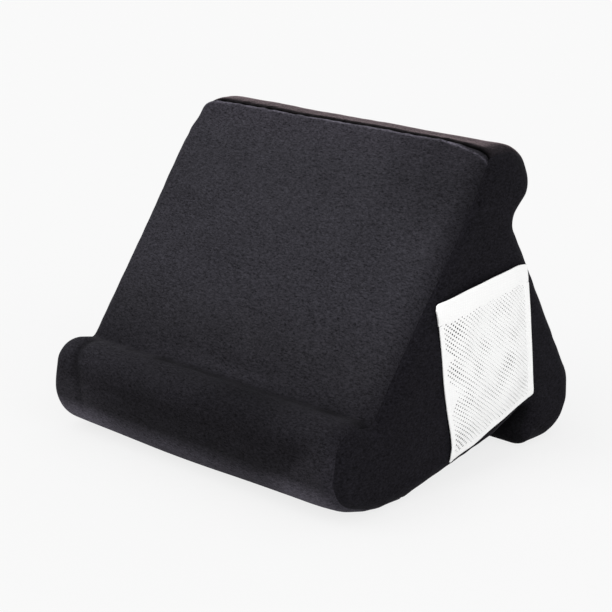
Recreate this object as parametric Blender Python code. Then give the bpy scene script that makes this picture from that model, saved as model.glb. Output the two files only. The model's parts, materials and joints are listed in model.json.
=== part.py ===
"""Tablet cushion stand: a foam wedge in a sewn plush cover, with a net pocket on its right end.

The stand rests on z = 0. Its reading face looks towards -Y and its pocket towards +X.
The origin is on the floor, below the middle of the whole stand. All sizes are in metres.

The side outline is drawn in the YZ plane with y = 0 at the crease between the reading face
and its ledge, and runs counter-clockwise as seen from +X. Every skin of the stand is that
outline, set in by some distance and lofted along X with a quarter-round at both ends.
"""

import math
from dataclasses import dataclass

import bmesh
import bpy
from mathutils import Vector

# Cushion across
CUSHION_WIDTH = 0.290
END_ROUNDING = 0.0145
SEAM_TURN = math.radians(50)

# Reading face and the lip below it
READING_FACE_LENGTH = 0.203
READING_FACE_ANGLE = math.radians(53.9)
CREASE_HEIGHT = 0.0655
CREASE_RADIUS = 0.005
TOP_EDGE_RADIUS = 0.003
LEDGE_DEPTH = 0.0345
LEDGE_RISE = 0.0075
LIP_LEAN = 0.010
LIP_TOP_RADIUS = 0.0192
LIP_BOTTOM_RADIUS = 0.0305
LIP_UNDERSIDE_RISE = 0.009
LIP_UNDERSIDE_DEPTH = 0.0535

# Resting strip under the lip
FRONT_REST_DEPTH = 0.0247
FRONT_REST_RADIUS = 0.038

# Top lobe, over the rear notch
TOP_LOBE_DEPTH = 0.0434
TOP_LOBE_RISE = 0.0005
TOP_LOBE_LEAN = 0.005
TOP_LOBE_HEIGHT = 0.0335
TOP_LOBE_RADIUS = 0.0285
TOP_LOBE_UNDER_RADIUS = 0.0145
REAR_NOTCH_DEPTH = 0.0195
REAR_NOTCH_HEIGHT = 0.0205
REAR_NOTCH_RADIUS = 0.0045

# Rear face and foot
REAR_FACE_ANGLE = math.radians(59.8)
FOOT_SHOULDER_HEIGHT = 0.044
FOOT_SHOULDER_RADIUS = 0.008
FOOT_BULGE = 0.0028
FOOT_LENGTH = 0.074
FOOT_REAR_RADIUS = 0.0335
FOOT_FRONT_RADIUS = 0.009
FOOT_HOLLOW_DEPTH = 0.025
FOOT_HOLLOW_HEIGHT = 0.0335
FOOT_HOLLOW_RADIUS = 0.0025

# Base face, between the front resting strip and the foot
BASE_SAG = 0.0053
BASE_SAG_PLACE = 0.697
BASE_SAG_RADIUS = 0.060

# Cover
COVER_THICKNESS = 0.0026
LAYER_GAP = 0.0003

# Net pocket
POCKET_FRONT_HEIGHT = 0.1365
POCKET_REAR_HEIGHT = 0.1435
POCKET_EDGE_INSET = 0.0085
POCKET_FRONT_REACH = 0.0405
POCKET_REAR_MARGIN = 0.0066
POCKET_DEPTH = 0.004
POCKET_FLARE = 0.024
POCKET_TOP_ARCH = 0.004
POCKET_SEAT = 0.0010
POCKET_LAYER_PITCH = 0.0012
NET_THICKNESS = 0.0008
NET_COLUMNS = 12
NET_ROWS = 10
NET_STRAND_SHARE = 0.36
NET_FOOT_BORDER = 0.004
TAPE_THICKNESS = 0.0005
SIDE_TAPE_WIDTH = 0.008
TOP_TAPE_WIDTH = 0.0125
ELASTIC_THICKNESS = 0.0008

# How finely arcs are cut
ARC_STEP = math.radians(15)
ROUNDING_STEP = math.radians(21)
LEAST_RADIUS = 0.0008
BORDER_CUTS = 3
TOP_TAPE_CUTS = 4

# Softness of a corner where it meets an end: the least radius it has there, as a share of the inset
PLAIN_SOFTNESS = 0.1
TOP_EDGE_SOFTNESS = 0.8


@dataclass(frozen=True)
class Corner:
    """One corner of the side outline, with the radius that rounds it."""

    y: float
    z: float
    radius: float
    softness: float = PLAIN_SOFTNESS


@dataclass(frozen=True)
class Finish:
    """The plain look of one kind of material."""

    name: str
    color: tuple
    roughness: float


PLUSH = Finish("black_plush", (0.010, 0.009, 0.011), 0.95)
FOAM = Finish("white_foam", (0.80, 0.78, 0.70), 0.9)
NET = Finish("white_net", (0.90, 0.90, 0.90), 0.6)
TAPE = Finish("white_tape", (0.92, 0.92, 0.92), 0.7)
ELASTIC = Finish("white_elastic", (0.85, 0.85, 0.84), 0.7)


def side_corners():
    """Works out the corners of the side outline from the driving sizes."""
    crease = (0.0, CREASE_HEIGHT)
    top = (
        crease[0] + READING_FACE_LENGTH * math.cos(READING_FACE_ANGLE),
        crease[1] + READING_FACE_LENGTH * math.sin(READING_FACE_ANGLE),
    )
    lip_top = (crease[0] - LEDGE_DEPTH, crease[1] + LEDGE_RISE)
    lip_bottom = (lip_top[0] - LIP_LEAN, LIP_UNDERSIDE_RISE)
    rest_front = (lip_bottom[0] + LIP_UNDERSIDE_DEPTH, 0.0)
    rest_rear = (rest_front[0] + FRONT_REST_DEPTH, 0.0)
    lobe_top = (top[0] + TOP_LOBE_DEPTH, top[1] + TOP_LOBE_RISE)
    lobe_under = (lobe_top[0] + TOP_LOBE_LEAN, lobe_top[1] - TOP_LOBE_HEIGHT)
    notch = (lobe_under[0] - REAR_NOTCH_DEPTH, lobe_under[1] - REAR_NOTCH_HEIGHT)
    rear_run = (notch[1] - FOOT_SHOULDER_HEIGHT) / math.tan(REAR_FACE_ANGLE)
    shoulder = (notch[0] + rear_run, FOOT_SHOULDER_HEIGHT)
    foot_rear = (shoulder[0] + FOOT_BULGE, 0.0)
    foot_front = (foot_rear[0] - FOOT_LENGTH, 0.0)
    hollow = (foot_front[0] + FOOT_HOLLOW_DEPTH, FOOT_HOLLOW_HEIGHT)
    sag = (
        rest_rear[0] + BASE_SAG_PLACE * (hollow[0] - rest_rear[0]),
        rest_rear[1] + BASE_SAG_PLACE * (hollow[1] - rest_rear[1]) - BASE_SAG,
    )
    return {
        "top": Corner(*top, TOP_EDGE_RADIUS, TOP_EDGE_SOFTNESS),
        "crease": Corner(*crease, CREASE_RADIUS),
        "lip_top": Corner(*lip_top, LIP_TOP_RADIUS),
        "lip_bottom": Corner(*lip_bottom, LIP_BOTTOM_RADIUS),
        "rest_front": Corner(*rest_front, FRONT_REST_RADIUS),
        "rest_rear": Corner(*rest_rear, FRONT_REST_RADIUS),
        "sag": Corner(*sag, BASE_SAG_RADIUS),
        "hollow": Corner(*hollow, FOOT_HOLLOW_RADIUS),
        "foot_front": Corner(*foot_front, FOOT_FRONT_RADIUS),
        "foot_rear": Corner(*foot_rear, FOOT_REAR_RADIUS),
        "shoulder": Corner(*shoulder, FOOT_SHOULDER_RADIUS),
        "notch": Corner(*notch, REAR_NOTCH_RADIUS),
        "lobe_under": Corner(*lobe_under, TOP_LOBE_UNDER_RADIUS),
        "lobe_top": Corner(*lobe_top, TOP_LOBE_RADIUS),
    }


def outline_arcs(corners, inset):
    """Rounds the outline's corners and sets it in: one list of points for each corner."""
    names = list(corners)
    arcs = {}
    for index, name in enumerate(names):
        before = corners[names[index - 1]]
        here = corners[name]
        after = corners[names[(index + 1) % len(names)]]
        point = Vector((here.y, here.z))
        come = (point - Vector((before.y, before.z))).normalized()
        leave = (Vector((after.y, after.z)) - point).normalized()
        turn = math.atan2(come.x * leave.y - come.y * leave.x, come.dot(leave))
        in_come = Vector((-come.y, come.x))
        in_leave = Vector((-leave.y, leave.x))
        mitre = (in_come + in_leave) / (1 + in_come.dot(in_leave))
        if turn > 0:
            radius = max(here.radius - inset, here.softness * inset, LEAST_RADIUS)
        else:
            radius = here.radius + inset
        side = 1 if turn > 0 else -1
        start = point + mitre * inset - come * radius * math.tan(abs(turn) / 2)
        centre = start + in_come * radius * side
        steps = 2 * max(1, math.ceil(abs(turn) / (2 * ARC_STEP)))
        spoke = start - centre
        arc = []
        for step in range(steps + 1):
            angle = turn * step / steps
            cosine = math.cos(angle)
            sine = math.sin(angle)
            arc.append(centre + Vector((
                spoke.x * cosine - spoke.y * sine,
                spoke.x * sine + spoke.y * cosine,
            )))
        arcs[name] = arc
    return arcs


def whole_outline(corners, inset):
    """The closed outline at one inset, as a list of points."""
    return [point for arc in outline_arcs(corners, inset).values() for point in arc]


def outline_stretch(corners, inset, first, last):
    """The outline from the middle of one corner to the middle of another, less half a gap at each end."""
    names = list(corners)
    arcs = outline_arcs(corners, inset)
    run = names.index(last) - names.index(first)
    if run <= 0:
        run += len(names)
    order = [names[(names.index(first) + step) % len(names)] for step in range(run + 1)]
    points = []
    for name in order:
        arc = arcs[name]
        middle = len(arc) // 2
        if name == first:
            along = (arc[middle + 1] - arc[middle - 1]).normalized()
            points.append(arc[middle] + along * LAYER_GAP / 2)
            points.extend(arc[middle + 1:])
        elif name == last:
            along = (arc[middle + 1] - arc[middle - 1]).normalized()
            points.extend(arc[:middle])
            points.append(arc[middle] - along * LAYER_GAP / 2)
        else:
            points.extend(arc)
    return points


def end_row(turn, depth):
    """Where a skin at some depth is along the end's quarter-round: its x and its inset."""
    radius = END_ROUNDING - depth
    x = CUSHION_WIDTH / 2 - END_ROUNDING + radius * math.cos(turn)
    inset = END_ROUNDING - radius * math.sin(turn)
    return x, inset


def turns(first, last):
    """Evenly spaced turns of the quarter-round, from one to another."""
    steps = max(2, math.ceil(abs(last - first) / ROUNDING_STEP))
    return [first + (last - first) * step / steps for step in range(steps + 1)]


def principled(finish):
    """Makes or finds the plain material for one finish."""
    found = bpy.data.materials.get(finish.name)
    if found:
        return found
    material = bpy.data.materials.new(finish.name)
    material.use_nodes = True
    shader = material.node_tree.nodes["Principled BSDF"]
    shader.inputs["Base Color"].default_value = (*finish.color, 1)
    shader.inputs["Roughness"].default_value = finish.roughness
    shader.inputs["Metallic"].default_value = 0.0
    return material


def piece_from(mesh_builder, name, finish, parent):
    """Turns a bmesh into a named object under the stand's empty."""
    bmesh.ops.recalc_face_normals(mesh_builder, faces=mesh_builder.faces)
    mesh = bpy.data.meshes.new(name)
    mesh_builder.to_mesh(mesh)
    mesh_builder.free()
    piece = bpy.data.objects.new(name, mesh)
    piece.data.materials.append(principled(finish))
    piece.parent = parent
    bpy.context.collection.objects.link(piece)
    mesh.shade_smooth()
    mesh.set_sharp_from_angle(angle=math.radians(35))
    return piece


def thicken(piece, thickness):
    """Gives a thin sheet its thickness, half to each side."""
    modifier = piece.modifiers.new("thickness", "SOLIDIFY")
    modifier.thickness = thickness
    modifier.offset = 0
    modifier.use_even_offset = True
    modifier.use_rim = True


def loft(mesh_builder, rows, closed):
    """Joins rows of points with faces, and returns the rows of vertices."""
    made = [[mesh_builder.verts.new(point) for point in row] for row in rows]
    for low, high in zip(made, made[1:]):
        bridge(mesh_builder, low, high, closed)
    return made


def bridge(mesh_builder, low, high, closed):
    """Fills the strip between two rows of vertices."""
    count = len(low)
    for index in range(count if closed else count - 1):
        after = (index + 1) % count
        mesh_builder.faces.new((low[index], low[after], high[after], high[index]))


def both_ends(half):
    """The rows of one end, followed by their mirror at the other end."""
    return half + [(-x, inset) for x, inset in reversed(half)]


def foam_core(corners, parent):
    """The foam wedge: the outline inside the cover, rounded towards both ends and capped."""
    depth = COVER_THICKNESS + LAYER_GAP
    rows = []
    whole_turn = turns(0, SEAM_TURN) + turns(SEAM_TURN, math.pi / 2)[1:]
    for x, inset in both_ends([end_row(turn, depth) for turn in whole_turn]):
        rows.append([(x, point.x, point.y) for point in whole_outline(corners, inset)])
    mesh_builder = bmesh.new()
    made = loft(mesh_builder, rows, closed=True)
    mesh_builder.faces.new(made[0])
    mesh_builder.faces.new(made[-1])
    return piece_from(mesh_builder, "foam_core", FOAM, parent)


def wrap_panel(name, corners, first, last, parent):
    """One panel of plush that runs across the cushion, between two cross seams and the end seams."""
    seam_turn = SEAM_TURN + LAYER_GAP / (2 * END_ROUNDING)
    mesh_builder = bmesh.new()
    skins = []
    for depth in (0, COVER_THICKNESS):
        rows = []
        for x, inset in both_ends([end_row(turn, depth) for turn in turns(seam_turn, math.pi / 2)]):
            stretch = outline_stretch(corners, inset, first, last)
            rows.append([(x, point.x, point.y) for point in stretch])
        skins.append(loft(mesh_builder, rows, closed=False))
    outer, inner = skins
    bridge(mesh_builder, outer[0], inner[0], closed=False)
    bridge(mesh_builder, outer[-1], inner[-1], closed=False)
    for side in (0, -1):
        bridge(mesh_builder, [row[side] for row in outer], [row[side] for row in inner], closed=False)
    return piece_from(mesh_builder, name, PLUSH, parent)


def end_panel(name, corners, side, parent):
    """The plush panel over one end: a flat face with a rounded border that meets the end seam."""
    seam_turn = SEAM_TURN - LAYER_GAP / (2 * END_ROUNDING)
    mesh_builder = bmesh.new()
    skins = []
    for depth in (0, COVER_THICKNESS):
        rows = []
        for turn in turns(seam_turn, 0):
            x, inset = end_row(turn, depth)
            rows.append([(x * side, point.x, point.y) for point in whole_outline(corners, inset)])
        made = loft(mesh_builder, rows, closed=True)
        mesh_builder.faces.new(made[-1])
        skins.append(made)
    outer, inner = skins
    bridge(mesh_builder, outer[0], inner[0], closed=True)
    return piece_from(mesh_builder, name, PLUSH, parent)


class Pocket:
    """The net pocket on the right end: one net wall, bound with tape, with elastic in its top tape."""

    def __init__(self, corners):
        """Finds the pocket's four corners on the end, in the outline's plane."""
        self.corners = corners
        self.front_top = self.on_side("crease", "top", POCKET_FRONT_HEIGHT)
        self.rear_top = self.on_side("shoulder", "notch", POCKET_REAR_HEIGHT)
        self.front_low = self.on_base(corners["rest_rear"].y + POCKET_FRONT_REACH)
        self.rear_low = self.on_base(corners["hollow"].y - POCKET_REAR_MARGIN)
        self.width = ((self.rear_top - self.front_top).length + (self.rear_low - self.front_low).length) / 2
        self.height = ((self.front_top - self.front_low).length + (self.rear_top - self.rear_low).length) / 2

    def side_line(self, first, last):
        """A side's first corner, its direction and the direction into the cushion."""
        start = Vector((self.corners[first].y, self.corners[first].z))
        end = Vector((self.corners[last].y, self.corners[last].z))
        along = (end - start).normalized()
        return start, along, Vector((-along.y, along.x))

    def on_side(self, first, last, height):
        """The point at a height that is one edge inset inside a side."""
        start, along, inward = self.side_line(first, last)
        if inward.x * (self.corners["top"].y - start.x) < 0:
            inward = -inward
        start = start + inward * POCKET_EDGE_INSET
        return start + along * ((height - start.y) / along.y)

    def on_base(self, y):
        """The point over the base that is one edge inset above it."""
        sag = self.corners["sag"]
        ends = ("rest_rear", "sag") if y < sag.y else ("sag", "hollow")
        start, along, inward = self.side_line(*ends)
        start = start + inward * POCKET_EDGE_INSET
        return start + along * ((y - start.x) / along.x)

    def end_height(self, spot):
        """How far out the end panel's outer face is at a spot, by its distance from the nearest side."""
        distance = END_ROUNDING
        for ends in (("top", "crease"), ("rest_rear", "sag"), ("sag", "hollow"), ("shoulder", "notch")):
            start, _, inward = self.side_line(*ends)
            distance = min(distance, (spot - start).dot(inward))
        dip = max(END_ROUNDING - distance, 0)
        return CUSHION_WIDTH / 2 - END_ROUNDING + math.sqrt(max(END_ROUNDING ** 2 - dip ** 2, 0))

    def spot(self, along, up):
        """The place in the outline's plane at a share along the pocket and a share up it."""
        low = self.front_low.lerp(self.rear_low, along)
        high = self.front_top.lerp(self.rear_top, along)
        arch = POCKET_TOP_ARCH * math.sin(math.pi * min(max(along, 0), 1))
        return low.lerp(high + Vector((0, arch)), up)

    def point(self, along, up):
        """The net's middle surface: close to the end panel at its sewn edges, off it between them."""
        spot = self.spot(along, up)
        near_side = min(max(min(along, 1 - along) * self.width / POCKET_FLARE, 0), 1)
        near_floor = min(max(up * self.height / POCKET_FLARE, 0), 1)
        stand_off = POCKET_SEAT + POCKET_LAYER_PITCH + POCKET_DEPTH * ease(near_side) * ease(near_floor)
        return Vector((self.end_height(spot) + stand_off, spot.x, spot.y))

    def reach(self):
        """How far the bound top edge stands out beyond the end panel."""
        outermost = self.point(0.5, 1).x + POCKET_LAYER_PITCH + TAPE_THICKNESS / 2
        return outermost - CUSHION_WIDTH / 2

    def across(self):
        """Shares along the pocket: close together under the side tapes, even between them."""
        border = SIDE_TAPE_WIDTH / self.width
        edge = [border * step / BORDER_CUTS for step in range(BORDER_CUTS)]
        field = [border + (1 - 2 * border) * step / NET_COLUMNS for step in range(NET_COLUMNS + 1)]
        return edge + field + [1 - share for share in reversed(edge)]

    def upwards(self):
        """Shares up the pocket, to the lower edge of the top tape."""
        foot = NET_FOOT_BORDER / self.height
        top = 1 - TOP_TAPE_WIDTH / self.height
        edge = [foot * step / BORDER_CUTS for step in range(BORDER_CUTS)]
        return edge + [foot + (top - foot) * step / NET_ROWS for step in range(NET_ROWS + 1)]

    def under_tape(self):
        """Shares up the pocket within the top tape, from its lower edge to the fold."""
        share = TOP_TAPE_WIDTH / self.height
        return [1 - share * (1 - step / TOP_TAPE_CUTS) for step in range(TOP_TAPE_CUTS + 1)]

    def net(self, parent):
        """The net wall: strands around rows of gaps, with a plain border under the tapes."""
        across = self.across()
        half_gap = LAYER_GAP / (2 * self.height)
        tucked = self.under_tape()[1:TOP_TAPE_CUTS // 2 + 1]
        tucked[-1] -= half_gap
        upwards = self.upwards() + tucked
        mesh_builder = bmesh.new()
        grid = [[mesh_builder.verts.new(self.point(along, up)) for along in across] for up in upwards]
        for row in range(len(upwards) - 1):
            for column in range(len(across) - 1):
                cell = (
                    grid[row][column],
                    grid[row][column + 1],
                    grid[row + 1][column + 1],
                    grid[row + 1][column],
                )
                in_rows = BORDER_CUTS <= row < BORDER_CUTS + NET_ROWS
                in_columns = BORDER_CUTS <= column < BORDER_CUTS + NET_COLUMNS
                if in_rows and in_columns:
                    self.gap_in(mesh_builder, cell)
                else:
                    mesh_builder.faces.new(cell)
        wall = piece_from(mesh_builder, "pocket_net", NET, parent)
        thicken(wall, NET_THICKNESS)
        return wall

    def gap_in(self, mesh_builder, cell):
        """Fills one cell of the net with strands around a gap."""
        middle = sum((vert.co for vert in cell), Vector()) / 4
        inner = [mesh_builder.verts.new(vert.co.lerp(middle, NET_STRAND_SHARE)) for vert in cell]
        for index in range(4):
            after = (index + 1) % 4
            mesh_builder.faces.new((cell[index], cell[after], inner[after], inner[index]))

    def ribbon(self, name, lines, thickness, finish, parent):
        """A ribbon lofted between lines of points and given a thickness."""
        mesh_builder = bmesh.new()
        loft(mesh_builder, lines, closed=False)
        ribbon = piece_from(mesh_builder, name, finish, parent)
        thicken(ribbon, thickness)
        return ribbon

    def folded_tape(self, name, lines, fold_line, parent):
        """A tape folded over an edge: down its inner leg's lines, round the fold, up its outer leg's."""
        pitch = Vector((POCKET_LAYER_PITCH, 0, 0))
        ordered = lines + [fold_line]
        inner = [[point - pitch for point in line] for line in ordered]
        outer = [[point + pitch for point in line] for line in reversed(ordered)]
        return self.ribbon(name, inner + outer, TAPE_THICKNESS, TAPE, parent)

    def build(self, parent):
        """Builds the net, its three tapes and the elastic."""
        self.net(parent)
        across = self.across()
        fold = LAYER_GAP + TAPE_THICKNESS / 2

        def line_along(up):
            return [self.point(along, up) for along in across]

        under = self.under_tape()
        self.folded_tape(
            "pocket_top_tape", [line_along(up) for up in under], line_along(1 + fold / self.height), parent)
        self.ribbon(
            "pocket_elastic", [line_along(up) for up in under[TOP_TAPE_CUTS // 2:]],
            ELASTIC_THICKNESS, ELASTIC, parent)

        upwards = self.upwards()
        upwards[-1] -= LAYER_GAP / self.height

        def line_up(along):
            return [self.point(along, up) for up in upwards]

        border = across[BORDER_CUTS::-1]
        self.folded_tape(
            "pocket_front_tape", [line_up(along) for along in border], line_up(-fold / self.width), parent)
        self.folded_tape(
            "pocket_rear_tape", [line_up(1 - along) for along in border],
            line_up(1 + fold / self.width), parent)


def ease(share):
    """A smooth rise from 0 to 1."""
    return share * share * (3 - 2 * share)


def stand_empty(corners, pocket):
    """The empty that carries the stand, placed so that the world's origin is below the middle of the whole."""
    ys = [point.x for point in whole_outline(corners, 0)]
    empty = bpy.data.objects.new("stand", None)
    empty.location = (-pocket.reach() / 2, -(min(ys) + max(ys)) / 2, 0)
    bpy.context.collection.objects.link(empty)
    return empty


def main():
    """Builds every piece of the stand."""
    for old in list(bpy.data.objects):
        bpy.data.objects.remove(old, do_unlink=True)
    corners = side_corners()
    pocket = Pocket(corners)
    stand = stand_empty(corners, pocket)
    foam_core(corners, stand)
    wrap_panel("front_wrap_panel", corners, "top", "rest_rear", stand)
    wrap_panel("base_wrap_panel", corners, "rest_rear", "shoulder", stand)
    wrap_panel("rear_wrap_panel", corners, "shoulder", "top", stand)
    end_panel("left_end_panel", corners, -1, stand)
    end_panel("right_end_panel", corners, 1, stand)
    pocket.build(stand)


main()
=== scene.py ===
"""Looks of the tablet cushion stand: a foam wedge in a sewn velvet cover, with a net pocket.

Sizes are in metres, unless a name ends in _mm, and angles in radians. The side outline is drawn in the
YZ plane with y = 0 at the crease between the reading face and its ledge, and runs
counter-clockwise as seen from +X. Every skin is that outline, set in by some distance and
carried along X, with a quarter-round at both ends. The whole is then moved to where the
frame's end panels and front panel are.
"""

import json
import logging
import math
from dataclasses import dataclass, field
from enum import Enum

import bmesh
import bpy
import numpy as np
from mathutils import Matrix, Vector
from mathutils.geometry import delaunay_2d_cdt
from mathutils.kdtree import KDTree

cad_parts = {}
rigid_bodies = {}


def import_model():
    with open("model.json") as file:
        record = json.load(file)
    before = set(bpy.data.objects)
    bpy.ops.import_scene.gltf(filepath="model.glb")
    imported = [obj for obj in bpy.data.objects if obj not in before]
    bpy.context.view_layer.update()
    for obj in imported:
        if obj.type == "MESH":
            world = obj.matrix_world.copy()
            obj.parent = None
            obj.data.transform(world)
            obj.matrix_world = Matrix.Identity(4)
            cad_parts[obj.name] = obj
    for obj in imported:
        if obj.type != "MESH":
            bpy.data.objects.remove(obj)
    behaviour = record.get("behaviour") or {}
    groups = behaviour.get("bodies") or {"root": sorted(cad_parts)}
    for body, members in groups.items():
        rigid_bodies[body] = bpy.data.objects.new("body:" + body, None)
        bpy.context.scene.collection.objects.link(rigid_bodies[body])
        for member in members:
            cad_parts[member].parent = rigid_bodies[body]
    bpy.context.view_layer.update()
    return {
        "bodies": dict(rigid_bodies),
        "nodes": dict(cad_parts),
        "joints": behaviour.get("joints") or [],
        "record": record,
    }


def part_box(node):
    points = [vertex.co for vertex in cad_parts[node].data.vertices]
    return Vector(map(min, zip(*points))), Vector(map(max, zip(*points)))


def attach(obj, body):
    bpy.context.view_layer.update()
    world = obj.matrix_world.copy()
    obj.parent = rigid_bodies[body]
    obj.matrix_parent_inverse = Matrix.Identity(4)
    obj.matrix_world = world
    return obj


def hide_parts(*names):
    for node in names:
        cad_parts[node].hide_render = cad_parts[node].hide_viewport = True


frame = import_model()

BODY = "root"
PAINTED_LIGHT_SHADE = "pile_lay"
MM = 0.001

log = logging.getLogger("tablet_cushion_stand")


class Side(Enum):
    """The two ends of the cushion, by the sign of their X."""

    LEFT = -1
    RIGHT = 1


class Slot(Enum):
    """The record's material slots."""

    PLUSH = "plush"
    FOAM = "foam"
    NET = "net"
    TAPE = "tape"
    ELASTIC = "elastic"


class Nap(Enum):
    """The way the velvet's pile was brushed on a panel: the axis that its streaks run along."""

    ACROSS = (1.0, 2.1, 2.1)
    DOWN = (1.8, 1.0, 1.8)


# Materials


def linear(hex_colour: str) -> tuple[float, float, float, float]:
    """Turns an sRGB hex colour into linear light.

    Args:
        hex_colour: the colour as "#rrggbb".

    Returns:
        Linear red, green, blue, and an alpha of 1.
    """
    channels = []
    for start in (1, 3, 5):
        value = int(hex_colour[start:start + 2], 16) / 255
        channels.append(value / 12.92 if value <= 0.04045 else ((value + 0.055) / 1.055) ** 2.4)
    return (*channels, 1.0)


def add_node(tree: bpy.types.NodeTree, kind: str, settings: dict | None = None,
             links: dict | None = None) -> bpy.types.Node:
    """Adds a node with its settings and links.

    Args:
        tree: the node tree that gets the node.
        kind: the node's type, such as "ShaderNodeMath".
        settings: values by name, for a property of the node if it has one, and otherwise for an
            input. "stops" are a colour ramp's: places from 0 to 1, each with its sRGB hex colour.
        links: the sockets to link to, by the name or number of the input that each one feeds.

    Returns:
        The new node.
    """
    node = tree.nodes.new(kind)
    for name, value in (settings or {}).items():
        if name == "stops":
            elements = node.color_ramp.elements
            while len(elements) < len(value):
                elements.new(0.5)
            for element, (place, colour) in zip(elements, value):
                element.position = place
                element.color = linear(colour)
        elif isinstance(name, str) and hasattr(node, name):
            setattr(node, name, value)
        else:
            node.inputs[name].default_value = value
    for name, socket in (links or {}).items():
        tree.links.new(socket, node.inputs[name])
    return node


def new_tree(name: str) -> tuple[bpy.types.Material, bpy.types.NodeTree]:
    """Makes an empty node material.

    Args:
        name: the material's name.

    Returns:
        The material and its node tree.
    """
    material = bpy.data.materials.new(name)
    material.use_nodes = True
    material.node_tree.nodes.clear()
    return material, material.node_tree


def per_metre(size_mm: float) -> float:
    """The noise scale whose features are about size_mm across."""
    return 1 / (size_mm * MM)


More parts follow.
